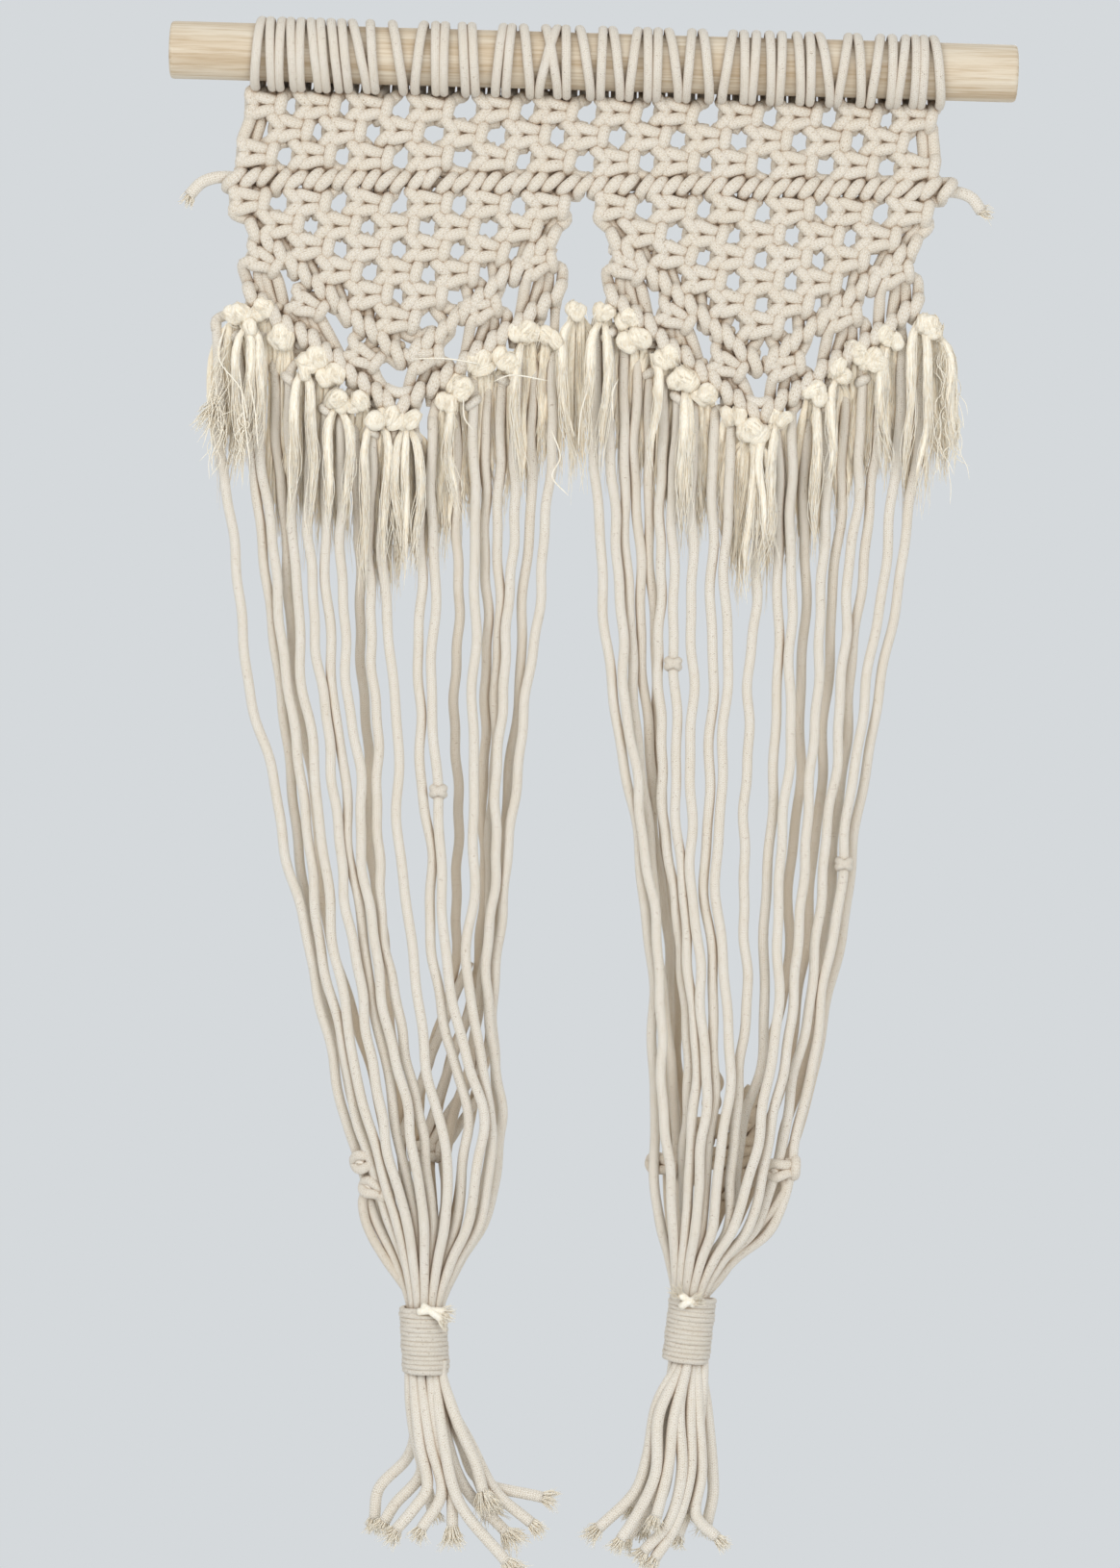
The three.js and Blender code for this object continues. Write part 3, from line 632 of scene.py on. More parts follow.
def make_wrap(side, wrap, lean):
    """Twine wound round the gathered cords in turns that lie close together, with both ends
    at the back."""
    axis, top = wrap
    t = np.linspace(0, TURNS, TURNS * 26 + 1)
    reach = WRAP_RADIUS - TWINE - 0.1 + 0.16 * np.sin(t * 1.7) + 0.1 * np.sin(t * 5.3 + 1)
    reach -= 2.6 * (np.clip(TUCK - t, 0, TUCK) + np.clip(t - TURNS + TUCK, 0, TUCK)) / TUCK
    drop = 1.2 + (WRAP_HEIGHT - 2.4) / TURNS * t
    around = 2 * np.pi * t + np.pi
    line = np.stack([
        axis + lean * (drop - WRAP_HEIGHT / 2) + reach * np.sin(around),
        SHEAF_Y - reach * np.cos(around),
        top - drop + lean * 5 * np.sin(around) + 0.14 * np.sin(t * 2.3 + 6 * np.cos(around)),
    ], 1)
    wound = Skein()
    wound.tube(line, TWINE, 8, tone=0.04)
    place(wound.build(f"wound_wrap_{side}", cord_cotton), "cotton_cord", f"wrap_{side}")


make_wrap("left", LEFT_WRAP, 0.08)
make_wrap("right", RIGHT_WRAP, -0.09)


# ---------------------------------------------------------------- net

# The front wraps over the dowel, from left to right: x at the top and at the bottom.
FRONT_WRAPS = [
    (-157, -159.5), (-153, -151.5), (-147.5, -148), (-143.5, -141), (-138.5, -138),
    (-134, -129.5), (-129.5, -126), (-124.5, -120), (-119.5, -115.5), (-114.5, -106.5),
    (-106, -103), (-95.5, -89.5), (-80.5, -84), (-75, -74), (-70.5, -70.5), (-62.5, -60),
    (-58, -55.5), (-43, -46), (-39, -41), (-33.5, -29.5), (-23, -16.5), (-17.5, -25.5),
    (-13.5, -12.5), (-7, -1), (4, 3.5), (8.5, 13), (20.5, 17), (25, 26), (30, 30),
    (35, 40.5), (46, 44), (51, 55), (65.5, 61), (70.5, 71.5), (76.5, 75), (82.5, 84),
    (88.5, 88), (95.5, 98), (101.5, 102.5), (106, 112), (120, 115.5), (124, 126.5),
    (135, 131), (140.5, 140.5), (147, 143.5), (151.5, 151.5), (155.5, 155), (160, 164),
]

# Rows of square knots above the half-hitch row, and below it in each panel: height, first
# strand, x of each knot.
UPPER_ROWS = [
    (-23.5, 0, [-153, -127.5, -102.5, -73.5, -42, -15, 15, 42, 72.5, 100.5, 128.5, 155]),
    (-34.8, 2, [-140, -115, -87.5, -57.5, -28, 0, 29, 57.5, 86.5, 115, 142]),
    (-46.5, 0, [-156.5, -129, -102, -73.5, -43.5, -15.5, 14.5, 43, 70.5, 98.5, 128, 156.5]),
]
LEFT_ROWS = [
    (-69.8, 0, [-159.5, -130.5, -102, -73.5, -45.5, -17.5]),
    (-80.5, 2, [-143, -116, -88.5, -60, -30.5]),
    (-91, 4, [-129, -101.5, -73.5, -45.5]),
    (-102, 6, [-115, -87, -59.5]),
    (-113, 8, [-100, -74]),
    (-124, 10, [-87]),
]
RIGHT_ROWS = [
    (-67.8, 24, [14, 42.5, 70.5, 98.5, 126, 154.5]),
    (-80, 26, [28.5, 57.5, 84.5, 112.5, 139.5]),
    (-90.3, 28, [43, 71, 98, 125]),
    (-101.5, 30, [57.5, 85, 112]),
    (-112, 32, [71.5, 99]),
    (-122, 34, [85.5]),
]


def bar_height(x):
    """Height of the half-hitch row, which sags a little to the left."""
    return -57.7 + 0.010 * x


# Both rows of half hitches along the points, and the square knots between them. Each run
# gives its first strand, the ends of its inner and outer rows, and its three knots' middles.
POINT_RUNS = [
    (0, ((-158.5, -84), (-88.5, -140.5)), ((-159, -115), (-92, -163.5)),
     [(-152.5, -99), (-130.5, -119.5), (-104, -143)]),
    (12, ((-80.5, -139), (-16.8, -83.5)), ((-84.5, -164.5), (-13.5, -110.5)),
     [(-74.5, -142), (-48, -118), (-22.5, -96)]),
    (24, ((12.5, -84), (80, -139)), ((11.5, -110.5), (80, -164)),
     [(20, -97.5), (43.5, -120), (69, -142.5)]),
    (36, ((88, -138.5), (153.5, -83)), ((86.5, -163.5), (156.5, -111)),
     [(96, -141), (122.5, -117), (146.5, -96)]),
]

# One square knot, in cord diameters about its middle: x, forwards, z. The left strand goes
# behind and shows as an upright bump on the right, and the right strand makes both bars.
KNOT = [
    [(-2.3, 0.7, 1.3), (-1.85, 1.0, 0.75), (-1.3, 0.9, 0.27), (-0.9, 0.1, 0.15),
     (-0.4, -0.75, 0.2), (0.4, -0.95, 0.45), (1.2, -0.45, 0.9), (1.5, 0.4, 0.98),
     (1.47, 1.0, 0.5), (1.37, 1.15, 0), (1.27, 1.0, -0.5), (1.15, 0.3, -0.98),
     (0.9, -0.5, -0.85), (0.2, -0.95, -0.45), (-0.5, -0.75, -0.2), (-0.9, 0.1, -0.2),
     (-1.35, 0.9, -0.33), (-1.9, 0.9, -0.75), (-2.35, 0.5, -1.25)],
    [(-0.55, -0.1, 1.15), (-0.45, 0.15, 0.4), (-0.45, 0.15, -0.4), (-0.55, -0.1, -1.15)],
    [(0.5, -0.1, 1.15), (0.4, 0.1, 0.4), (0.4, 0.1, -0.4), (0.5, -0.1, -1.15)],
    [(2.05, 0.1, 1.3), (1.45, 0.05, 0.75), (0.85, 0.6, 0.45), (0.1, 1.0, 0.53),
     (-0.7, 1.0, 0.75), (-1.35, 0.7, 0.9), (-1.85, 0.1, 0.5), (-1.95, -0.2, 0),
     (-1.85, 0.1, -0.5), (-1.4, 0.7, -0.92), (-0.7, 1.0, -0.77), (0.1, 1.0, -0.53),
     (0.85, 0.6, -0.45), (1.45, 0.05, -0.75), (2.05, 0.1, -1.3)],
]
# How far a knot's loops reach, in cord diameters: inside a panel, and at its sides.
FREE, AT_LEFT, AT_RIGHT = (-9, 9), (-1.62, 9), (-9, 1.5)

# Small turns as offsets in mm: where a panel's point closes, where a hanging cord leaves the
# border (its z is times a tilt), and a knot on a hanging cord.
LAST_HITCH = [(-6, 2, 2), (-4, -2.5, 0.6), (0, -4.2, -0.6), (4, -2.5, 0.4), (6, 2, 2)]
HALF_KNOT = [(-0.6, 2.4, 1), (-1.9, 0.8, 0.95), (-1.7, -1.6, 0.7), (0, -2.9, 0),
             (1.7, -1.6, -0.7), (1.9, 0.8, -0.95), (0.6, 2.4, -1)]
OVERHAND = [(-0.8, 2.9, 2.2), (-2.6, 0, 1.5), (-1.4, -3.1, 0.7),
            (1.4, -3.1, -0.7), (2.6, 0, -1.5), (0.8, 2.9, -2.2)]
LOOP_LENGTH = 96  # of each strand's turn over the dowel


def loop_over_dowel(strand):
    """From the bar at the back, up over the dowel, down its front and back under the bar."""
    def around(x, reach, angle):
        return x, reach * math.cos(angle), reach * math.sin(angle), TIGHT

    (top, bottom), partner = FRONT_WRAPS[strand], FRONT_WRAPS[strand ^ 1]
    middle = (bottom + partner[1]) / 2
    side = -1 if bottom < middle else 1
    inside, apart = middle + side * 2.6, middle + side * 3.5
    r = DOWEL_RADIUS + 2.2
    out = r + CORD * 0.95
    route = [around((top + partner[0]) / 2, out, -0.42), around(top - side * 0.3, out, -0.36)]
    for angle, share, off in ((0.05, 1, 0), (0.6, 1, -0.2), (1.2, 1, -0.4), (1.75, 1, -0.4),
                              (2.3, 0.85, -0.3), (2.85, 0.6, 0), (3.4, 0.35, 0),
                              (3.95, 0.1, 0.4), (4.4, 0, 0.8), (4.9, 0, 0.7), (5.35, 0, 0.4)):
        route.append(around(top * share + bottom * (1 - share), r + off, angle))
    return route + [
        around((bottom + inside) / 2, r, 5.75), (inside, 18.4, -2.6, TIGHT),
        (inside, 23.4, -6.5, TIGHT), (apart, 21, -12.5, 3.1), (apart, 13.5, -16, 3.1),
    ]


# The strands of the net, each a list of points that grows downwards: x, y, z, radius.
strands = [loop_over_dowel(s) for s in range(STRANDS)]


def add_point(strand, x, forward, z, radius):
    strands[strand].append((x, NET_Y - forward * CORD, z, radius))


def tie_knot(first, x, z, lean=0, size=1, limits=FREE):
    """A square knot in four strands."""
    lean += rng.normal(0, 0.05)
    cos, sin = math.cos(lean) * size, math.sin(lean) * size
    for k, points in enumerate(KNOT, first):
        off_x, off_z = rng.normal(0, 0.04, 2)
        for px, forward, pz in points:
            px, pz = min(max(px, limits[0]), limits[1]) + off_x, pz + off_z
            add_point(k, x + (px * cos - pz * sin) * CORD, forward,
                      z + (px * sin + pz * cos) * CORD, KNOTTED * (0.4 + 0.6 * size))


def tie_rows(rows, fall, left, right):
    """Rows of square knots in a panel that begins and ends with the knots left and right."""
    limits = {left: AT_LEFT, right: AT_RIGHT}
    for z, first, places in rows:
        for strand, x in zip(range(first, STRANDS, 4), places):
            height = z + fall(x) + rng.normal(0, 0.3)
            tie_knot(strand, x - 1, height, limits=limits.get(strand, FREE))


def hitch(strand, x, z, lean, tall, radius, dive):
    """One half hitch: a leaning lump in front of the cord that it is tied over."""
    lump = [(1.1, dive, 1.6), (1, 0.75, 1.05), (0.5, 1.1, 0.5)]
    for dx, forward, dz in lump + [(-dx, forward, -dz) for dx, forward, dz in lump[::-1]]:
        add_point(strand, x + dx * lean * CORD, forward, z + dz * tall * CORD, radius)


def run_places(a, b):
    """The middles of the hitches in a slanting row."""
    shares = [i / (RUN - 1) for i in range(RUN)]
    return [(a[0] + (b[0] - a[0]) * share, a[1] + (b[1] - a[1]) * share) for share in shares]


def slanting_row(first, ends, lean, tall, dive):
    for s, (x, z) in enumerate(run_places(*ends), first):
        hitch(s, x + rng.normal(0, 0.4), z + rng.normal(0, 0.6), lean, tall, 3, dive)


def back_of_hitch(skein, x, z, lean):
    turn = [(lean * 1.2, -1, 4.6), (lean, 3.4, 2.6), (0, 4.4, 0), (-lean, 3.4, -2.6),
            (-lean * 1.2, -1, -4.6)]
    skein.curve(shifted(x, NET_Y, z, turn), 1.5, TIGHT, 8)


tie_rows(UPPER_ROWS, lambda x: 0.006 * x, 0, STRANDS - 4)
bar_places = []
for s in range(STRANDS):
    bar_places.append(-171.5 + 7.15 * (s + 0.5) + rng.normal(0, 0.5))
    hitch(s, bar_places[s], bar_height(bar_places[s]) + rng.normal(0, 0.6),
          rng.uniform(0.45, 0.72), rng.uniform(0.52, 0.62), KNOTTED + rng.normal(0, 0.1), -0.2)
tie_rows(LEFT_ROWS, lambda x: 0.01 * (x + 90), 0, PANEL - 4)
tie_rows(RIGHT_ROWS, lambda x: 0.01 * (x - 85), PANEL, STRANDS - 4)
for first, inner, outer, knots in POINT_RUNS:
    side = -1 if inner[1][1] < inner[0][1] else 1
    slanting_row(first, inner, side * 0.3, 0.68, 0.1)
    for k, (x, z) in enumerate(knots):
        tie_knot(first + 4 * k, x, z, side * 0.36, 0.86)
    slanting_row(first, outer, side * 0.26, 0.66, -0.5)

# Below the outer row the strands run behind the tassel heads to the tops of the hanging cords.
for panel, (border, rows) in enumerate(PANELS):
    carried = {round(i * (PANEL - 1) / (SHEAF_CORDS - 1)): row for i, row in enumerate(rows)}
    for s, points in enumerate(strands[panel * PANEL: (panel + 1) * PANEL]):
        x, _, z, _ = points[-1]
        if s not in carried:
            points.append((x, NET_Y + 2.5, z - 5, 2.4))
            continue
        top_x, top_y, top = cord_top(border, carried[s])
        if z - 3 > top + 11:
            points.append((x * 0.7 + top_x * 0.3, NET_Y + 1, z - 3, 2.4))
            points.append((x * 0.25 + top_x * 0.75, top_y, top + 9, 2.4))
        points += [(top_x, top_y, top + 4, 2.4), (top_x, top_y, top - 1, 2.35)]

loops, nets = Skein(), [Skein(), Skein()]
for s, points in enumerate(strands):
    line = smooth_line(points, 1.7)
    along = arc_lengths(line)
    split = int(np.searchsorted(along, LOOP_LENGTH))
    turn = line[: split + 1, :3]
    outward = turn * [0, 1, 1]
    on_wood = np.linalg.norm(outward, axis=1) < DOWEL_RADIUS + 3.4
    pressed = np.exp(-(((np.arctan2(turn[:, 2], -turn[:, 1]) - 0.7) / 1.3) ** 2))
    squash = outward, 1 - 0.27 * pressed * on_wood
    loops.tube(turn, line[: split + 1, 3], tone=0.06, squash=squash)
    radius = line[split:, 3] + 0.06 * np.sin(along[split:] / 2.7 + s)
    nets[s // PANEL].tube(line[split:, :3], radius, tone=0.12)

# The cords that the hitches are tied over, and the turns at their backs.
for first, *rows, _ in POINT_RUNS:
    skein = nets[first // PANEL]
    for start, end in rows:
        middle = np.add(start, end) / 2
        skein.curve([(x, NET_Y, z) for x, z in (start, middle, end)], 3, 2.4, 8)
        for x, z in run_places(start, end):
            back_of_hitch(skein, x, z, 0.8)
for skein, x in zip(nets, (-87.5, 82.5)):
    skein.curve(shifted(x, NET_Y, -158.5, LAST_HITCH), 1.5, 2.8)
for s, x in enumerate(bar_places):
    back_of_hitch(nets[s // PANEL], x, bar_height(x), 1.4)

# Small half knots where the hanging cords leave the border.
for skein, (border, rows) in zip(nets, PANELS):
    for i, row in enumerate(rows):
        if i % 5 in (1, 4):
            x, y, z = cord_top(border, row)
            z += rng.uniform(-0.5, 3.5)
            tilt = rng.choice([-1, 1]) * rng.uniform(1.2, 2.6)
            turn = [(dx, dy, dz * tilt) for dx, dy, dz in HALF_KNOT]
            skein.curve(shifted(x, y, z, turn), 1.2, TIGHT)

place(loops.build("dowel_loops", cord_cotton), "cotton_cord", "knotted_net")
for side, skein in zip(("left", "right"), nets):
    place(skein.build(f"net_{side}", cord_cotton), "cotton_cord")


# ---------------------------------------------------------------- carrier cord

carrier = Skein()
points = [CARRIER_LEFT_END, (-184, NET_Y, -61.5), (-176, NET_Y, -58.8)]
points += [(x, NET_Y, bar_height(x)) for x in range(-160, 161, 40)]
points += [(174, NET_Y, -56), (181, NET_Y, -58.5), CARRIER_RIGHT_END]
line = smooth_line(points, 2.5)
radius = np.interp(np.abs(line[:, 0]), [160, 168], [2.4, 2.9])
carrier.tube(line, radius, CORD_SIDES)
place(carrier.build("half_hitch_core", cord_cotton), "cotton_cord", "carrier_cord")


# ---------------------------------------------------------------- tassels

# Combed yarn heads tied on below the outer hitches: x, z, width, height, lean.
LEFT_HEADS = [
    (-165, -124, 11, 11, 0.4), (-153.5, -122, 11, 10, 0.5), (-144, -135, 11, 13, 0.3),
    (-128, -145, 13, 13, 0.5), (-119, -152, 12, 11, 0.2), (-116.5, -164, 11, 12, -0.3),
    (-106.5, -164.5, 11, 11, 0.4), (-91, -171.5, 11, 13, -0.2), (-83.5, -171.5, 10, 12, 0.3),
    (-64, -163, 10, 11, -0.3), (-59, -155.5, 12, 12, -0.5), (-50, -145, 12, 14, -0.4),
    (-37, -143, 12, 11, -0.6), (-29, -130, 12, 12, -0.3), (-17, -131, 10, 11, -0.4),
    (-5, -118, 9, 10, -0.2),
]
RIGHT_HEADS = [
    (8, -119, 10, 11, 0.2), (19.5, -121.5, 11, 10, 0.5), (23.5, -131, 12, 12, 0.4),
    (39.5, -139, 11.5, 13, 0.4), (47.5, -150, 13, 13, 0.3), (57.5, -157, 11, 12, 0.4),
    (70, -165, 10, 11, 0.3), (80, -173, 14, 13, 0.1), (93, -165, 10, 11, -0.4),
    (109.5, -154, 12, 10, -0.5), (120, -143.5, 11, 11, -0.4), (128, -134, 11, 10, -0.3),
    (135.5, -138, 11, 14, -0.2), (141, -126, 11, 10, -0.5), (163, -121, 12, 11, -0.2),
]

# Tassels: x of the head, x of the tip, z of the tip, width, share in front of the cords.
LEFT_YARN = [
    (-168, -170, -201, 13, 0.2), (-153, -153, -172, 7, 0.05), (-159, -160, -203, 8, 0.9),
    (-143, -142, -226, 7, 0.05), (-133, -132, -226, 7, 0.75), (-126, -127, -222, 6, 0.1),
    (-117, -115, -226, 12, 0.7), (-98, -96, -253, 13, 0.6), (-84, -83.5, -247, 14, 0.6),
    (-66, -66, -233, 7, 0.3), (-56, -54, -219, 8, 0.5), (-43, -42, -204, 7, 0.1),
    (-31, -29, -212, 8, 0.2), (-20, -20, -190, 6, 0.1), (-14, -15, -190, 8, 0.1),
    (-3, -2, -198, 12, 0.2),
]
RIGHT_YARN = [
    (8, 8, -193, 9, 0.3), (19, 20, -198, 7, 0.1), (30, 31, -202, 8, 0.15),
    (46, 47, -224, 9, 0.6), (59, 59, -223, 7, 0.3), (66, 66, -209, 8, 0.3),
    (76, 76, -251, 15, 0.7), (90, 91, -243, 14, 0.6), (110, 111, -231, 9, 0.4),
    (121, 122, -213, 7, 0.3), (132, 133, -196, 7, 0.1), (141, 142, -188, 6, 0.1),
    (147, 148, -198, 8, 0.4), (158, 157, -206, 7, 0.3), (170, 171, -190, 11, 0.5),
]

YARN_LEVELS = np.arange(-275, -100, 1.0)  # heights at which the yarn is kept off the cords
FORTH = (0, 1, 0)


def wisp(skein, points, radius, tone=0.0):
    """One loose strand of yarn that thins out at both ends."""
    line = smooth_line(points, 1.2)
    steps = np.arange(len(line)) + 1
    taper = np.minimum(1, np.minimum(steps, steps[::-1]) / 4)
    skein.tube(line, radius * taper, 5, tone, cap=False)


def lobe(skein, x, y, z, width, height, lean, tone):
    """One soft tuck of combed yarn: a filled middle with fine strands drawn over it."""
    def leaning(px, py, pz):
        return np.stack([x + px * cos - pz * sin, py, z + px * sin + pz * cos], 1)

    count, half_turn = 17, 1.55
    cos, sin = math.cos(lean), math.sin(lean)
    rise = np.linspace(-0.5, 0.5, 7)
    bow = rng.normal(0, 0.08) * width
    middle = leaning(bow * np.cos(rise * np.pi), y + 1.8 * (rise * 2) ** 2, rise * height)
    girth = np.array([0.3, 0.46, 0.52, 0.53, 0.51, 0.43, 0.27]) * width
    girth = girth * (1 + 0.07 * np.sin(rise * 9 + rng.uniform(0, 6)))
    skein.tube(middle, girth, 12, tone, squash=(FORTH, 0.62))
    across = np.linspace(-1, 1, count) + rng.normal(0, 0.05, count)
    swing = np.linspace(-half_turn, half_turn, len(rise))
    twist = rng.uniform(-0.3, 0.3)
    lines = []
    for a in across:
        around = np.clip(a + twist * swing / 1.5 + rng.normal(0, 0.04), -1, 1) * 1.45
        belly = np.interp(swing / half_turn * 0.5, rise, girth) - rng.uniform(-0.02, 0.2)
        lines.append(leaning(
            np.sin(around) * belly + bow * np.cos(swing),
            y - np.cos(around) * belly * 0.63 + 1.8 * (swing / half_turn) ** 2,
            swing / (2 * half_turn) * height * rng.uniform(0.95, 1.12) + rng.normal(0, 0.3),
        ))
    skein.hairs(np.array(lines), 0.24, rng.normal(tone, 0.03, (count, 1)))


def yarn_head(skein, x, z, width, height, lean):
    """Combed yarn tied on below a hitch, as soft tucks that lean over each other."""
    lobes = [(-0.24, 0.1), (0.22, -0.12), (0.02, 0.3)]
    for k, (across, up) in enumerate(lobes[: 3 if width > 10.5 else 2]):
        lobe(
            skein, x + across * width * math.cos(lean) + rng.normal(0, 0.4),
            0.6 - k + rng.normal(0, 0.3),
            z + across * width * math.sin(lean) + up * height * 0.5 + rng.normal(0, 0.5),
            width * rng.uniform(0.6, 0.78), height * rng.uniform(0.62, 0.85),
            lean + rng.normal(0, 0.45) - across * 1.6, rng.uniform(0.12, 0.3),
        )
    for _ in range(5):
        reach = rng.choice([-1, 1]) * rng.uniform(3, 7)
        wisp(skein, [(x, -3.5, z), (x + reach * 0.6, -6, z + rng.normal(0, 2)),
                     (x + reach, -5.5, z - rng.uniform(1, 7))], 0.14)


def cord_tracks(lines):
    """x and y of each hanging cord at the yarn's levels, far away where a cord hasn't begun."""
    tracks = [
        [np.interp(YARN_LEVELS, line[::-1, 2], line[::-1, axis], 1e3, 1e3) for axis in (0, 1)]
        for line in lines
    ]
    return np.moveaxis(np.array(tracks), -1, 0)


def clear_of_cords(sx, sy, sz, in_front, tracks, room=2.9):
    """y of strands after those that run through a hanging cord go in front of it or behind."""
    level = np.clip(np.round(sz - YARN_LEVELS[0]).astype(int), 0, len(YARN_LEVELS) - 1)
    cord_x, cord_y = np.moveaxis(tracks[level], -1, 0)
    gap = np.abs(cord_x - sx[..., None])
    reach = np.sqrt(np.maximum(0, room ** 2 - np.minimum(gap, room) ** 2))
    for _ in range(2):
        hit = (gap < room) & (np.abs(cord_y - sy[..., None]) < reach)
        which = np.argmax(hit, -1)[..., None]
        at, off = (np.take_along_axis(v, which, -1)[..., 0] for v in (cord_y, reach))
        sy = np.where(hit.any(-1), np.where(in_front, at - off - 0.2, at + off + 0.2), sy)
    for _ in range(2):
        sy[..., 1:-1] = (sy[..., :-2] + 2 * sy[..., 1:-1] + sy[..., 2:]) / 4
    return sy


def tassel(skein, x, top, tip_x, tip, width, front, tracks):
    """Combed yarn in soft wavy locks, each a filled core with fine strands drawn over it."""
    share = np.linspace(0, 1, 12) ** 0.95
    width *= 1.3
    locks = max(4, int(width * 0.5))
    pitch, each = width / locks, (locks, 1)
    home = (np.arange(locks)[:, None] + 0.5) / locks - 0.5 + rng.normal(0, 0.04, each)
    end = home * rng.uniform(0.8, 1.6, each)
    reach = 1 - np.abs(rng.normal(0, 0.08, each)) - 0.3 * np.abs(home) ** 1.5
    forward = rng.uniform(0, 1, each) < front * 0.6
    phase = rng.uniform(0, 6.28, (locks, 3))
    sway = rng.uniform(0.7, 2, each)
    depth = np.where(forward, rng.uniform(-2.2, 0.8, each), rng.uniform(8.5, 11, each))
    opening = 0.35 + 0.4 * np.minimum(1, share * 7) + 0.5 * np.sin(np.pi * share ** 0.6)
    girth = pitch * np.interp(
        share, [0, 0.1, 0.3, 0.6, 0.8, 0.92, 1], [0.45, 0.78, 0.93, 0.86, 0.62, 0.35, 0.06])
    settle = np.minimum(1, share * 4)
    mx = x + (tip_x - x) * share + (home + (end - home) * share) * width * opening
    mx += sway * (0.1 + share) * np.sin(5 * share + phase[:, :1])
    mx += 0.4 * sway * np.sin(10 * share + phase[:, 1:2]) * share
    my = depth * (0.25 + 0.75 * settle) + 2.5 * (1 - settle)
    my += 0.5 * np.sin(6 * share + phase[:, 2:])
    mz = top + (tip - top) * share * reach * 0.9
    my = clear_of_cords(mx, my, mz, forward, tracks, 2.6 + pitch * 0.45)
    # Painted shade: locks behind the cords get a deeper tone than those in front.
    for core, ahead in zip(np.stack([mx, my, mz], -1), forward):
        skein.tube(core, girth, 8, 0.2 if ahead else 0.6, squash=(FORTH, 0.66))

    odds = np.where(forward[:, 0], 1, 0.45)
    count = int((12 + width * 5.6) * (0.35 + 0.65 * odds.mean()))
    lock = rng.choice(locks, count, p=odds / odds.sum())
    each = (count, 1)
    around = rng.uniform(-1.5, 1.5, each)
    stray = (rng.uniform(0, 1, each) < 0.34) * 1.0
    lie = girth + 0.12 + stray * share ** 1.5 * 1.6
    own = rng.uniform(0, 6.28, (count, 2))
    size = np.abs(rng.normal(0, 0.22, each)) + stray * 0.5
    turn = around + 0.5 * np.sin(4 * share + own[:, 1:])
    wave = (size * (0.2 + share) + stray * 0.9 * share ** 3) * np.sin(11 * share + own[:, :1])
    sx = mx[lock] + np.sin(turn) * lie + wave
    sy = my[lock] - np.cos(turn) * lie * 0.68 + size * 0.4 * np.sin(9 * share + own[:, 1:])
    long = np.clip(1 + rng.normal(0.06, 0.1, each) + stray * 0.06, 0.55, 1.22)
    rise = rng.uniform(-1.5, 0.8, each) * np.maximum(0, 1 - share * 4)
    sz = top + (mz[lock] - top) * long + rise
    sy = clear_of_cords(sx, sy, sz, forward[lock], tracks)
    # Painted shade: strands behind the cords, and all strands near their tops, get a deeper tone.
    tone = np.where(forward[lock], 0, 0.22) + rng.normal(0, 0.06, each)
    thin = np.interp(share, [0, 0.75, 0.9, 1], [0.2, 0.2, 0.16, 0.07])
    skein.hairs(np.stack([sx, sy, sz], -1), thin, tone + 0.12 * np.maximum(0, 1 - share * 5))


def nearest(heads, x):
    return min(heads, key=lambda head: abs(head[0] - x))


def lining(skein, heads, tassels, tracks):
    """Yarn behind the cords: soft locks close together that end in fine curling fibres."""
    share = np.linspace(0, 1, 10)
    girth = np.interp(share, [0, 0.2, 0.6, 0.85, 1], [0.5, 1, 0.95, 0.5, 0.06])
    thin = np.interp(share, [0, 0.6, 1], [0.17, 0.15, 0.06])
    _, tips_x, tips, *_ = zip(*tassels)
    each = (11, 1)
    for x in np.arange(tassels[0][0] - 2, tassels[-1][0] + 3, 2.3):
        x += rng.normal(0, 0.5)
        head_x, top, head_width, *_ = nearest(heads, x)
        top_x = head_x + np.clip(x - head_x, -0.3 * head_width, 0.3 * head_width)
        fall = (np.interp(x, tips_x, tips) - top) * rng.uniform(0.8, 1)
        phase = rng.uniform(0, 6.28, 3)
        sway = rng.uniform(0.5, 1.6) * share * np.sin(4.5 * share + phase[0])
        mx = top_x + (x - top_x) * np.minimum(1, share * 2.6) ** 0.8 + sway
        my = 3 + rng.uniform(5.5, 8.5) * np.minimum(1, share * 3.5)
        my += 0.6 * np.sin(5 * share + phase[1])
        mz = top + fall * share
        my = clear_of_cords(mx, my, mz, False, tracks, 3.6)
        # Painted shade: these locks and fibres behind the cords get a deeper tone, varied at
        # random.
        size = rng.uniform(1.7, 2.3)
        skein.tube(np.stack([mx, my, mz], 1), girth * size, 7, rng.uniform(0.25, 0.75),
                   squash=(FORTH, 0.6))
        start = rng.uniform(0.05, 0.6, each)
        way = start + (rng.normal(1.1, 0.09, each) - start) * share
        own = rng.uniform(0, 6.28, (len(start), 2))
        curl = np.abs(rng.normal(0.8, 0.5, each)) * share ** 1.4
        off = rng.uniform(-1, 1, each) * (0.9 + share)
        sx = np.interp(way, share, mx) + off + curl * np.sin(8 * share + own[:, :1])
        sz = top + fall * way + 0.5 * curl * np.sin(10 * share + own[:, 1:])
        face = rng.choice([-0.62, 0.62], each) * size * np.where(way < 1, 1, 0.3)
        sy = np.interp(way, share, my) + face + 0.5 * curl * np.sin(7 * share + own[:, 1:])
        sy = clear_of_cords(sx, sy, sz, False, tracks)
        skein.hairs(np.stack([sx, sy, sz], -1), thin, rng.uniform(0.2, 0.6, each))


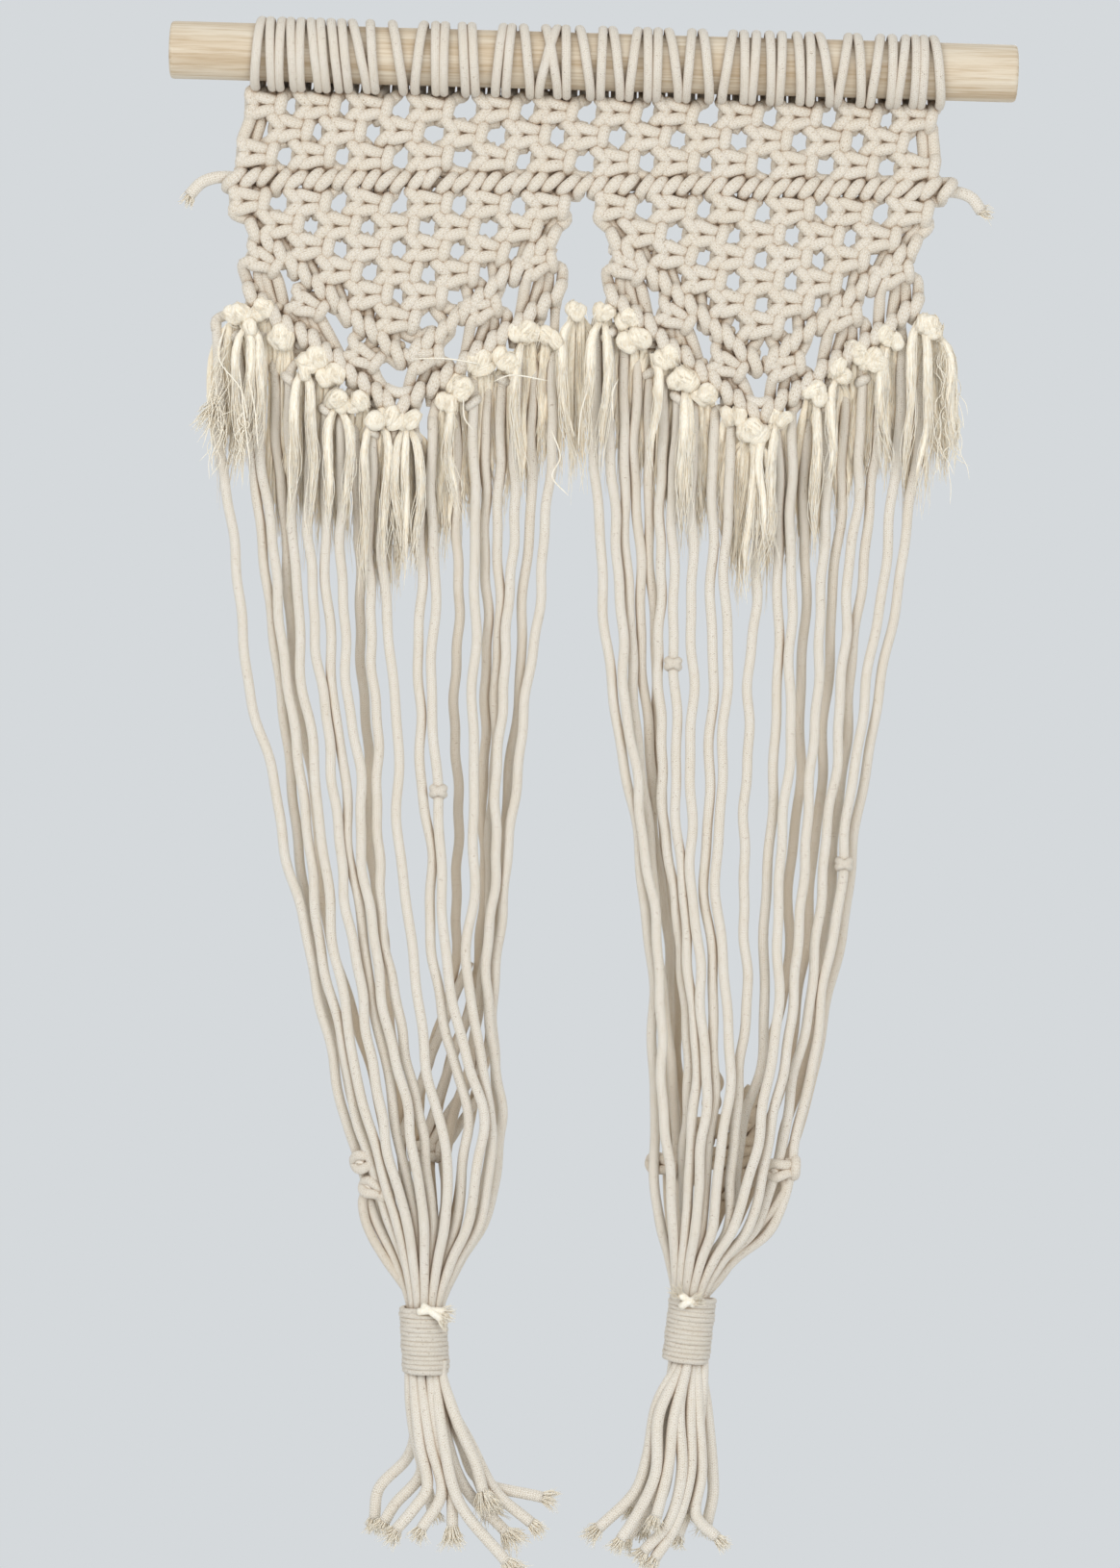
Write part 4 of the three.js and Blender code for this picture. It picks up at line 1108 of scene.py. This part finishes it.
def make_fringe(side, border, heads, tassels, lines):
    fringe, tracks = Skein(), cord_tracks(lines)
    for head in heads:
        yarn_head(fringe, *head)
    for x, tip_x, tip, width, front in tassels:
        head_x, head_z, _, head_height, _ = nearest(heads, x)
        if abs(head_x - x) < (8 if abs(x) > 160 else 5):
            x, top = head_x * 0.7 + x * 0.3, head_z - head_height * 0.3
        else:
            top = height_at(border, x) + 9
            if front > 0.15:
                lobe(fringe, x, -1, top - 1, width * 0.75, 8, rng.normal(0, 0.2), 0.04)
        tassel(fringe, x, top, tip_x, tip, width, front, tracks)
    lining(fringe, heads, tassels, tracks)
    place(fringe.build(f"tassels_{side}", yarn_cotton), "cotton_yarn", f"fringe_{side}")


make_fringe("left", LEFT_BORDER, LEFT_HEADS, LEFT_YARN, left_lines)
make_fringe("right", RIGHT_BORDER, RIGHT_HEADS, RIGHT_YARN, right_lines)


# ---------------------------------------------------------------- frayed ends and stray yarn

def brush(skein, at, along, length, spread, count, root=1.9, tone=0.05, curl_size=0.9):
    """Fibres that fan out from the cut end of a cord."""
    along = unit(np.asarray(along, float))
    a = unit(np.cross(along, [0.3, 0.9, 0.1]))
    b = np.cross(along, a)
    angle = rng.uniform(0, 2 * np.pi, (count, 1))
    out = np.sqrt(rng.uniform(0, 1, (count, 1)))
    share = np.linspace(0, 1, 6)
    away = root * out + spread * (out * share ** 1.5)
    curl = rng.normal(0, curl_size, (count, 2, 1)) * np.sin(share * 4) * share
    forth = -2 + (length + 2) * rng.uniform(0.5, 1.05, (count, 1)) * share
    lines = (
        at
        + (away * np.cos(angle) + curl[:, 0])[..., None] * a
        + (away * np.sin(angle) + curl[:, 1])[..., None] * b
        + forth[..., None] * along
    )
    thin = np.interp(share, [0, 0.6, 1], [0.29, 0.25, 0.08])
    skein.hairs(lines, thin, rng.normal(tone, 0.1, (count, 1)))


frays = Skein()
for tail in LEFT_TAILS + RIGHT_TAILS:
    before, last = np.array(tail[-2:], float)
    way = last - before
    brush(frays, last, way, rng.uniform(6.5, 10), rng.uniform(2.5, 5), 72, curl_size=1.1)
    if -52 < last[0] < -18:  # the most unravelled ends
        brush(frays, last, way, 12, 6, 80, 2.2, 0.12, 1.5)
brush(frays, CARRIER_LEFT_END, (-0.45, -0.1, -1), 6, 2.5, 40)
brush(frays, CARRIER_RIGHT_END, (1, -0.1, -0.25), 6, 2.5, 40)
# The cut ends of the twine at the tops of the wraps.
for points, way in (
    ([(-66, -3.5, -593), (-60, -5.5, -592), (-54, -4, -592.5)], (1, 0, -0.1)),
    ([(-64, -3.5, -590), (-59, -6.5, -593), (-55, -5, -596)], (0.8, 0, -0.6)),
    ([(64, -3.5, -586), (60, -5.5, -583), (57, -5, -581)], (-0.5, -0.2, 0.5)),
    ([(58, -3.5, -587), (61, -6, -584.5), (64, -5, -583.5)], (0.8, -0.3, 0.2)),
):
    frays.curve(points, 1.5, 1.8, 8)
    brush(frays, points[-1], way, 6, 3, 40, 1.5)
# Stray ends of white yarn in front of the panels and beside the fringe.
for points in (
    [(-170, -6, -129), (-172.5, -7, -146), (-162, -7, -160), (-158, -6, -174)],
    [(-163, -6, -150), (-160, -7, -172), (-156.5, -7, -195)],
    [(-159, -6, -152), (-155, -7, -170), (-153, -6, -188)],
    [(-81, -7, -143.5), (-66, -8, -143), (-49, -7, -145)],
    [(-43, -6, -153), (-35, -8, -150), (-17, -7, -152)],
    [(-57, -5, -160), (-56, -7, -171), (-52, -6, -176)],
    [(-15, -5, -175), (-10.5, -8, -188), (-14, -7, -197), (-6, -6, -206)],
    [(1.5, -5, -155), (-1.5, -7, -168), (-2, -6, -183)],
    [(16, -5, -150), (13.5, -7, -156), (14, -6, -170)],
    [(-138, -5, -180), (-138, -6, -198), (-137, -5, -214)],
):
    wisp(frays, points, 0.36)
# A soft tuft that sticks out behind the left edge, and a crinkled end beside it.
brush(frays, (-173, 4, -165), (-0.55, -0.1, -0.83), 18, 4.5, 70, 2.2, 0.02)
for _ in range(9):
    x, z = -160.5 + rng.normal(0, 1.5), -166 - rng.uniform(0, 4)
    wisp(frays, [(x + rng.normal(0, 1), -5.5 + rng.normal(0, 0.8), z - 3.4 * m)
                 for m in range(rng.integers(7, 10))], 0.26)
# Loose fibres at both sides of the fringe.
for k in range(84):
    side, x, z = (1, 171, -128) if k % 2 else (-1, -171, -132)
    x, y, z = x + rng.normal(0, 3), rng.uniform(-2, 4), z - rng.uniform(0, 42)
    fall, out, bend = rng.uniform(16, 36), side * rng.uniform(-1, 8), rng.normal(0, 1.7, 4)
    points = [(x, y, z)]
    for share, sway, nod in zip((0.25, 0.5, 0.75, 1), bend, bend[::-1]):
        points.append((x + out * share ** 1.4 + sway, y + nod * 0.5, z - fall * share))
    wisp(frays, points, 0.2, 0.03)
place(frays.build("frayed_yarn", yarn_cotton), "cotton_yarn")


# ---------------------------------------------------------------- knots in the slings

def square_knot(skein, x, y, z, lean, size, tone=0.12):
    """A square knot that joins cords of a sling."""
    cos, sin = math.cos(lean) * size * CORD, math.sin(lean) * size * CORD
    for points in (KNOT[0][2:-2], KNOT[1], KNOT[2], KNOT[3][2:-2]):
        line = [(x + px * cos - pz * sin, y - forward * CORD * size, z + px * sin + pz * cos)
                for px, forward, pz in points]
        skein.curve(line, 1.4, 2.45, tone=tone)


def sennit(skein, points):
    """A short ridged braid: two cords that cross over each other down a line, painted darker
    (painted shade) as it lies at the back.
    """
    line = smooth_line(points, 1.2)
    for phase in (0, np.pi):
        turn = arc_lengths(line) / 2.9 + phase
        side = np.stack([np.sin(turn) * 2.5, np.cos(turn) * 1.9, 0 * turn], 1)
        skein.tube(line + side, TIGHT, 8, tone=0.55)


slings = Skein()
square_knot(slings, -91, 0, -522, 0.25, 0.8)
square_knot(slings, -87.5, -1, -536, -0.35, 0.7)
square_knot(slings, -64, 27, -519.5, 0.15, 0.85)
square_knot(slings, 48.5, 8, -521, -0.2, 0.75, 0.3)
square_knot(slings, 105, 2, -521, 0.15, 0.8)
# Painted shade: the knots at the back of the right sling are painted darker by their tone.
for x, z in ((84.5, -498), (69.5, -504), (89, -512), (77, -518), (85.5, -527)):
    square_knot(slings, x, 24, z, 0.1, 0.75, 0.55)
# A small tight knot on the foremost cord near each place: two turns that cross.
for lines, x, z in (
    (left_lines, -65.3, -347), (right_lines, 129, -376), (right_lines, 46.8, -283.5),
):
    places = [line[np.argmin(np.abs(line[:, 2] - z))] for line in lines]
    x, y, _ = min((p for p in places if abs(p[0] - x) < 6), key=lambda p: p[1])
    for side in (-1, 1):
        turn = [(dx * side, dy, dz) for dx, dy, dz in OVERHAND]
        slings.curve(shifted(x, y, z, turn), 1.2, 1.9, tone=0.1)
# Cords that cross from knot to knot, painted a little darker (painted shade); most of them lie at
# the back.
for points in (
    [(-88, 1, -534), (-93.5, 1, -540), (-93, 2, -549), (-89.5, 3, -558), (-82.5, 5, -569.5),
     (-74, 7, -581), (-66, 9, -592)],
    [(104.5, 3, -525), (106, 2, -530), (102.5, 2, -537), (94, 4, -548.5), (85.5, 5, -560),
     (75.5, 7, -575), (67, 9, -585)],
    [(-47, 18, -428), (-53, 21, -443), (-59, 23, -459.5), (-65, 24, -476), (-69, 24, -489),
     (-74, 24, -503), (-78, 22, -517)],
    [(-42, 19, -441), (-48, 21, -457), (-54, 23, -475), (-60, 25, -493.5), (-64, 24, -507),
     (-68, 24, -518)],
    [(-36, 18, -466), (-42, 20, -478), (-49, 22, -491), (-56, 25, -502.5), (-62, 24, -514),
     (-66, 24, -524)],
    [(-38, 19, -489), (-43, 21, -496), (-48.5, 23, -504.5), (-54, 25, -514), (-60, 24, -522)],
    [(-70, 24, -524), (-77, 22, -531), (-83, 16, -538)],
    [(-57, 24, -524), (-55, 24, -541), (-58, 20, -560)],
):
    slings.curve(points, 1.6, TIGHT, tone=0.18)
sennit(slings, [(72, 23, -478.5), (70, 24, -497), (67.5, 24, -515), (65, 23, -531)])
sennit(slings, [(81.5, 23, -492), (79, 24, -508), (78.5, 24, -524), (78, 22, -537.5)])
sennit(slings, [(89, 22, -484), (88.5, 23, -499), (87, 23, -514), (85, 22, -529)])
place(slings.build("sling_knots", cord_cotton), "cotton_cord")


# ---------------------------------------------------------------- floor, light, background

def make_floor():
    sides, radius, height = 96, 1.6, -1.31
    angles = [2 * math.pi * k / sides for k in range(sides)]
    points = [(0, 0, height)]
    points += [(radius * math.cos(a), radius * math.sin(a), height) for a in angles]
    faces = [(0, k + 1, (k + 1) % sides + 1) for k in range(sides)]
    n = Nodes("floor")
    n.set(n.shader.inputs["Base Color"], srgb(226, 228, 230))
    n.set(n.shader.inputs["Roughness"], 0.9)
    add_mesh("floor", points, faces, n.material)


def area_light(name, at, aim, size, power, colour=(1, 1, 1)):
    data = bpy.data.lights.new(name, "AREA")
    data.shape = "DISK"
    data.size = size
    data.energy = power
    data.color = colour
    light = bpy.data.objects.new(name, data)
    light.location = at
    light.rotation_mode = "QUATERNION"
    light.rotation_quaternion = (Vector(aim) - Vector(at)).to_track_quat("-Z", "Y")
    bpy.context.scene.collection.objects.link(light)


make_floor()
area_light("key", (-1.3, -2.0, 0.45), (0, 0, -0.35), 1.4, 21, (1.0, 0.985, 0.965))
area_light("fill", (0.9, -2.2, -0.1), (0, 0, -0.35), 1.6, 20, (0.98, 0.985, 0.995))
area_light("back", (0.4, 2.0, 0.5), (0, 0, -0.3), 1.6, 19)

world = bpy.data.worlds.new("studio")
bpy.context.scene.world = world
world.use_nodes = True
background = world.node_tree.nodes["Background"]
background.inputs["Color"].default_value = srgb(213, 217, 220)
background.inputs["Strength"].default_value = 1.0
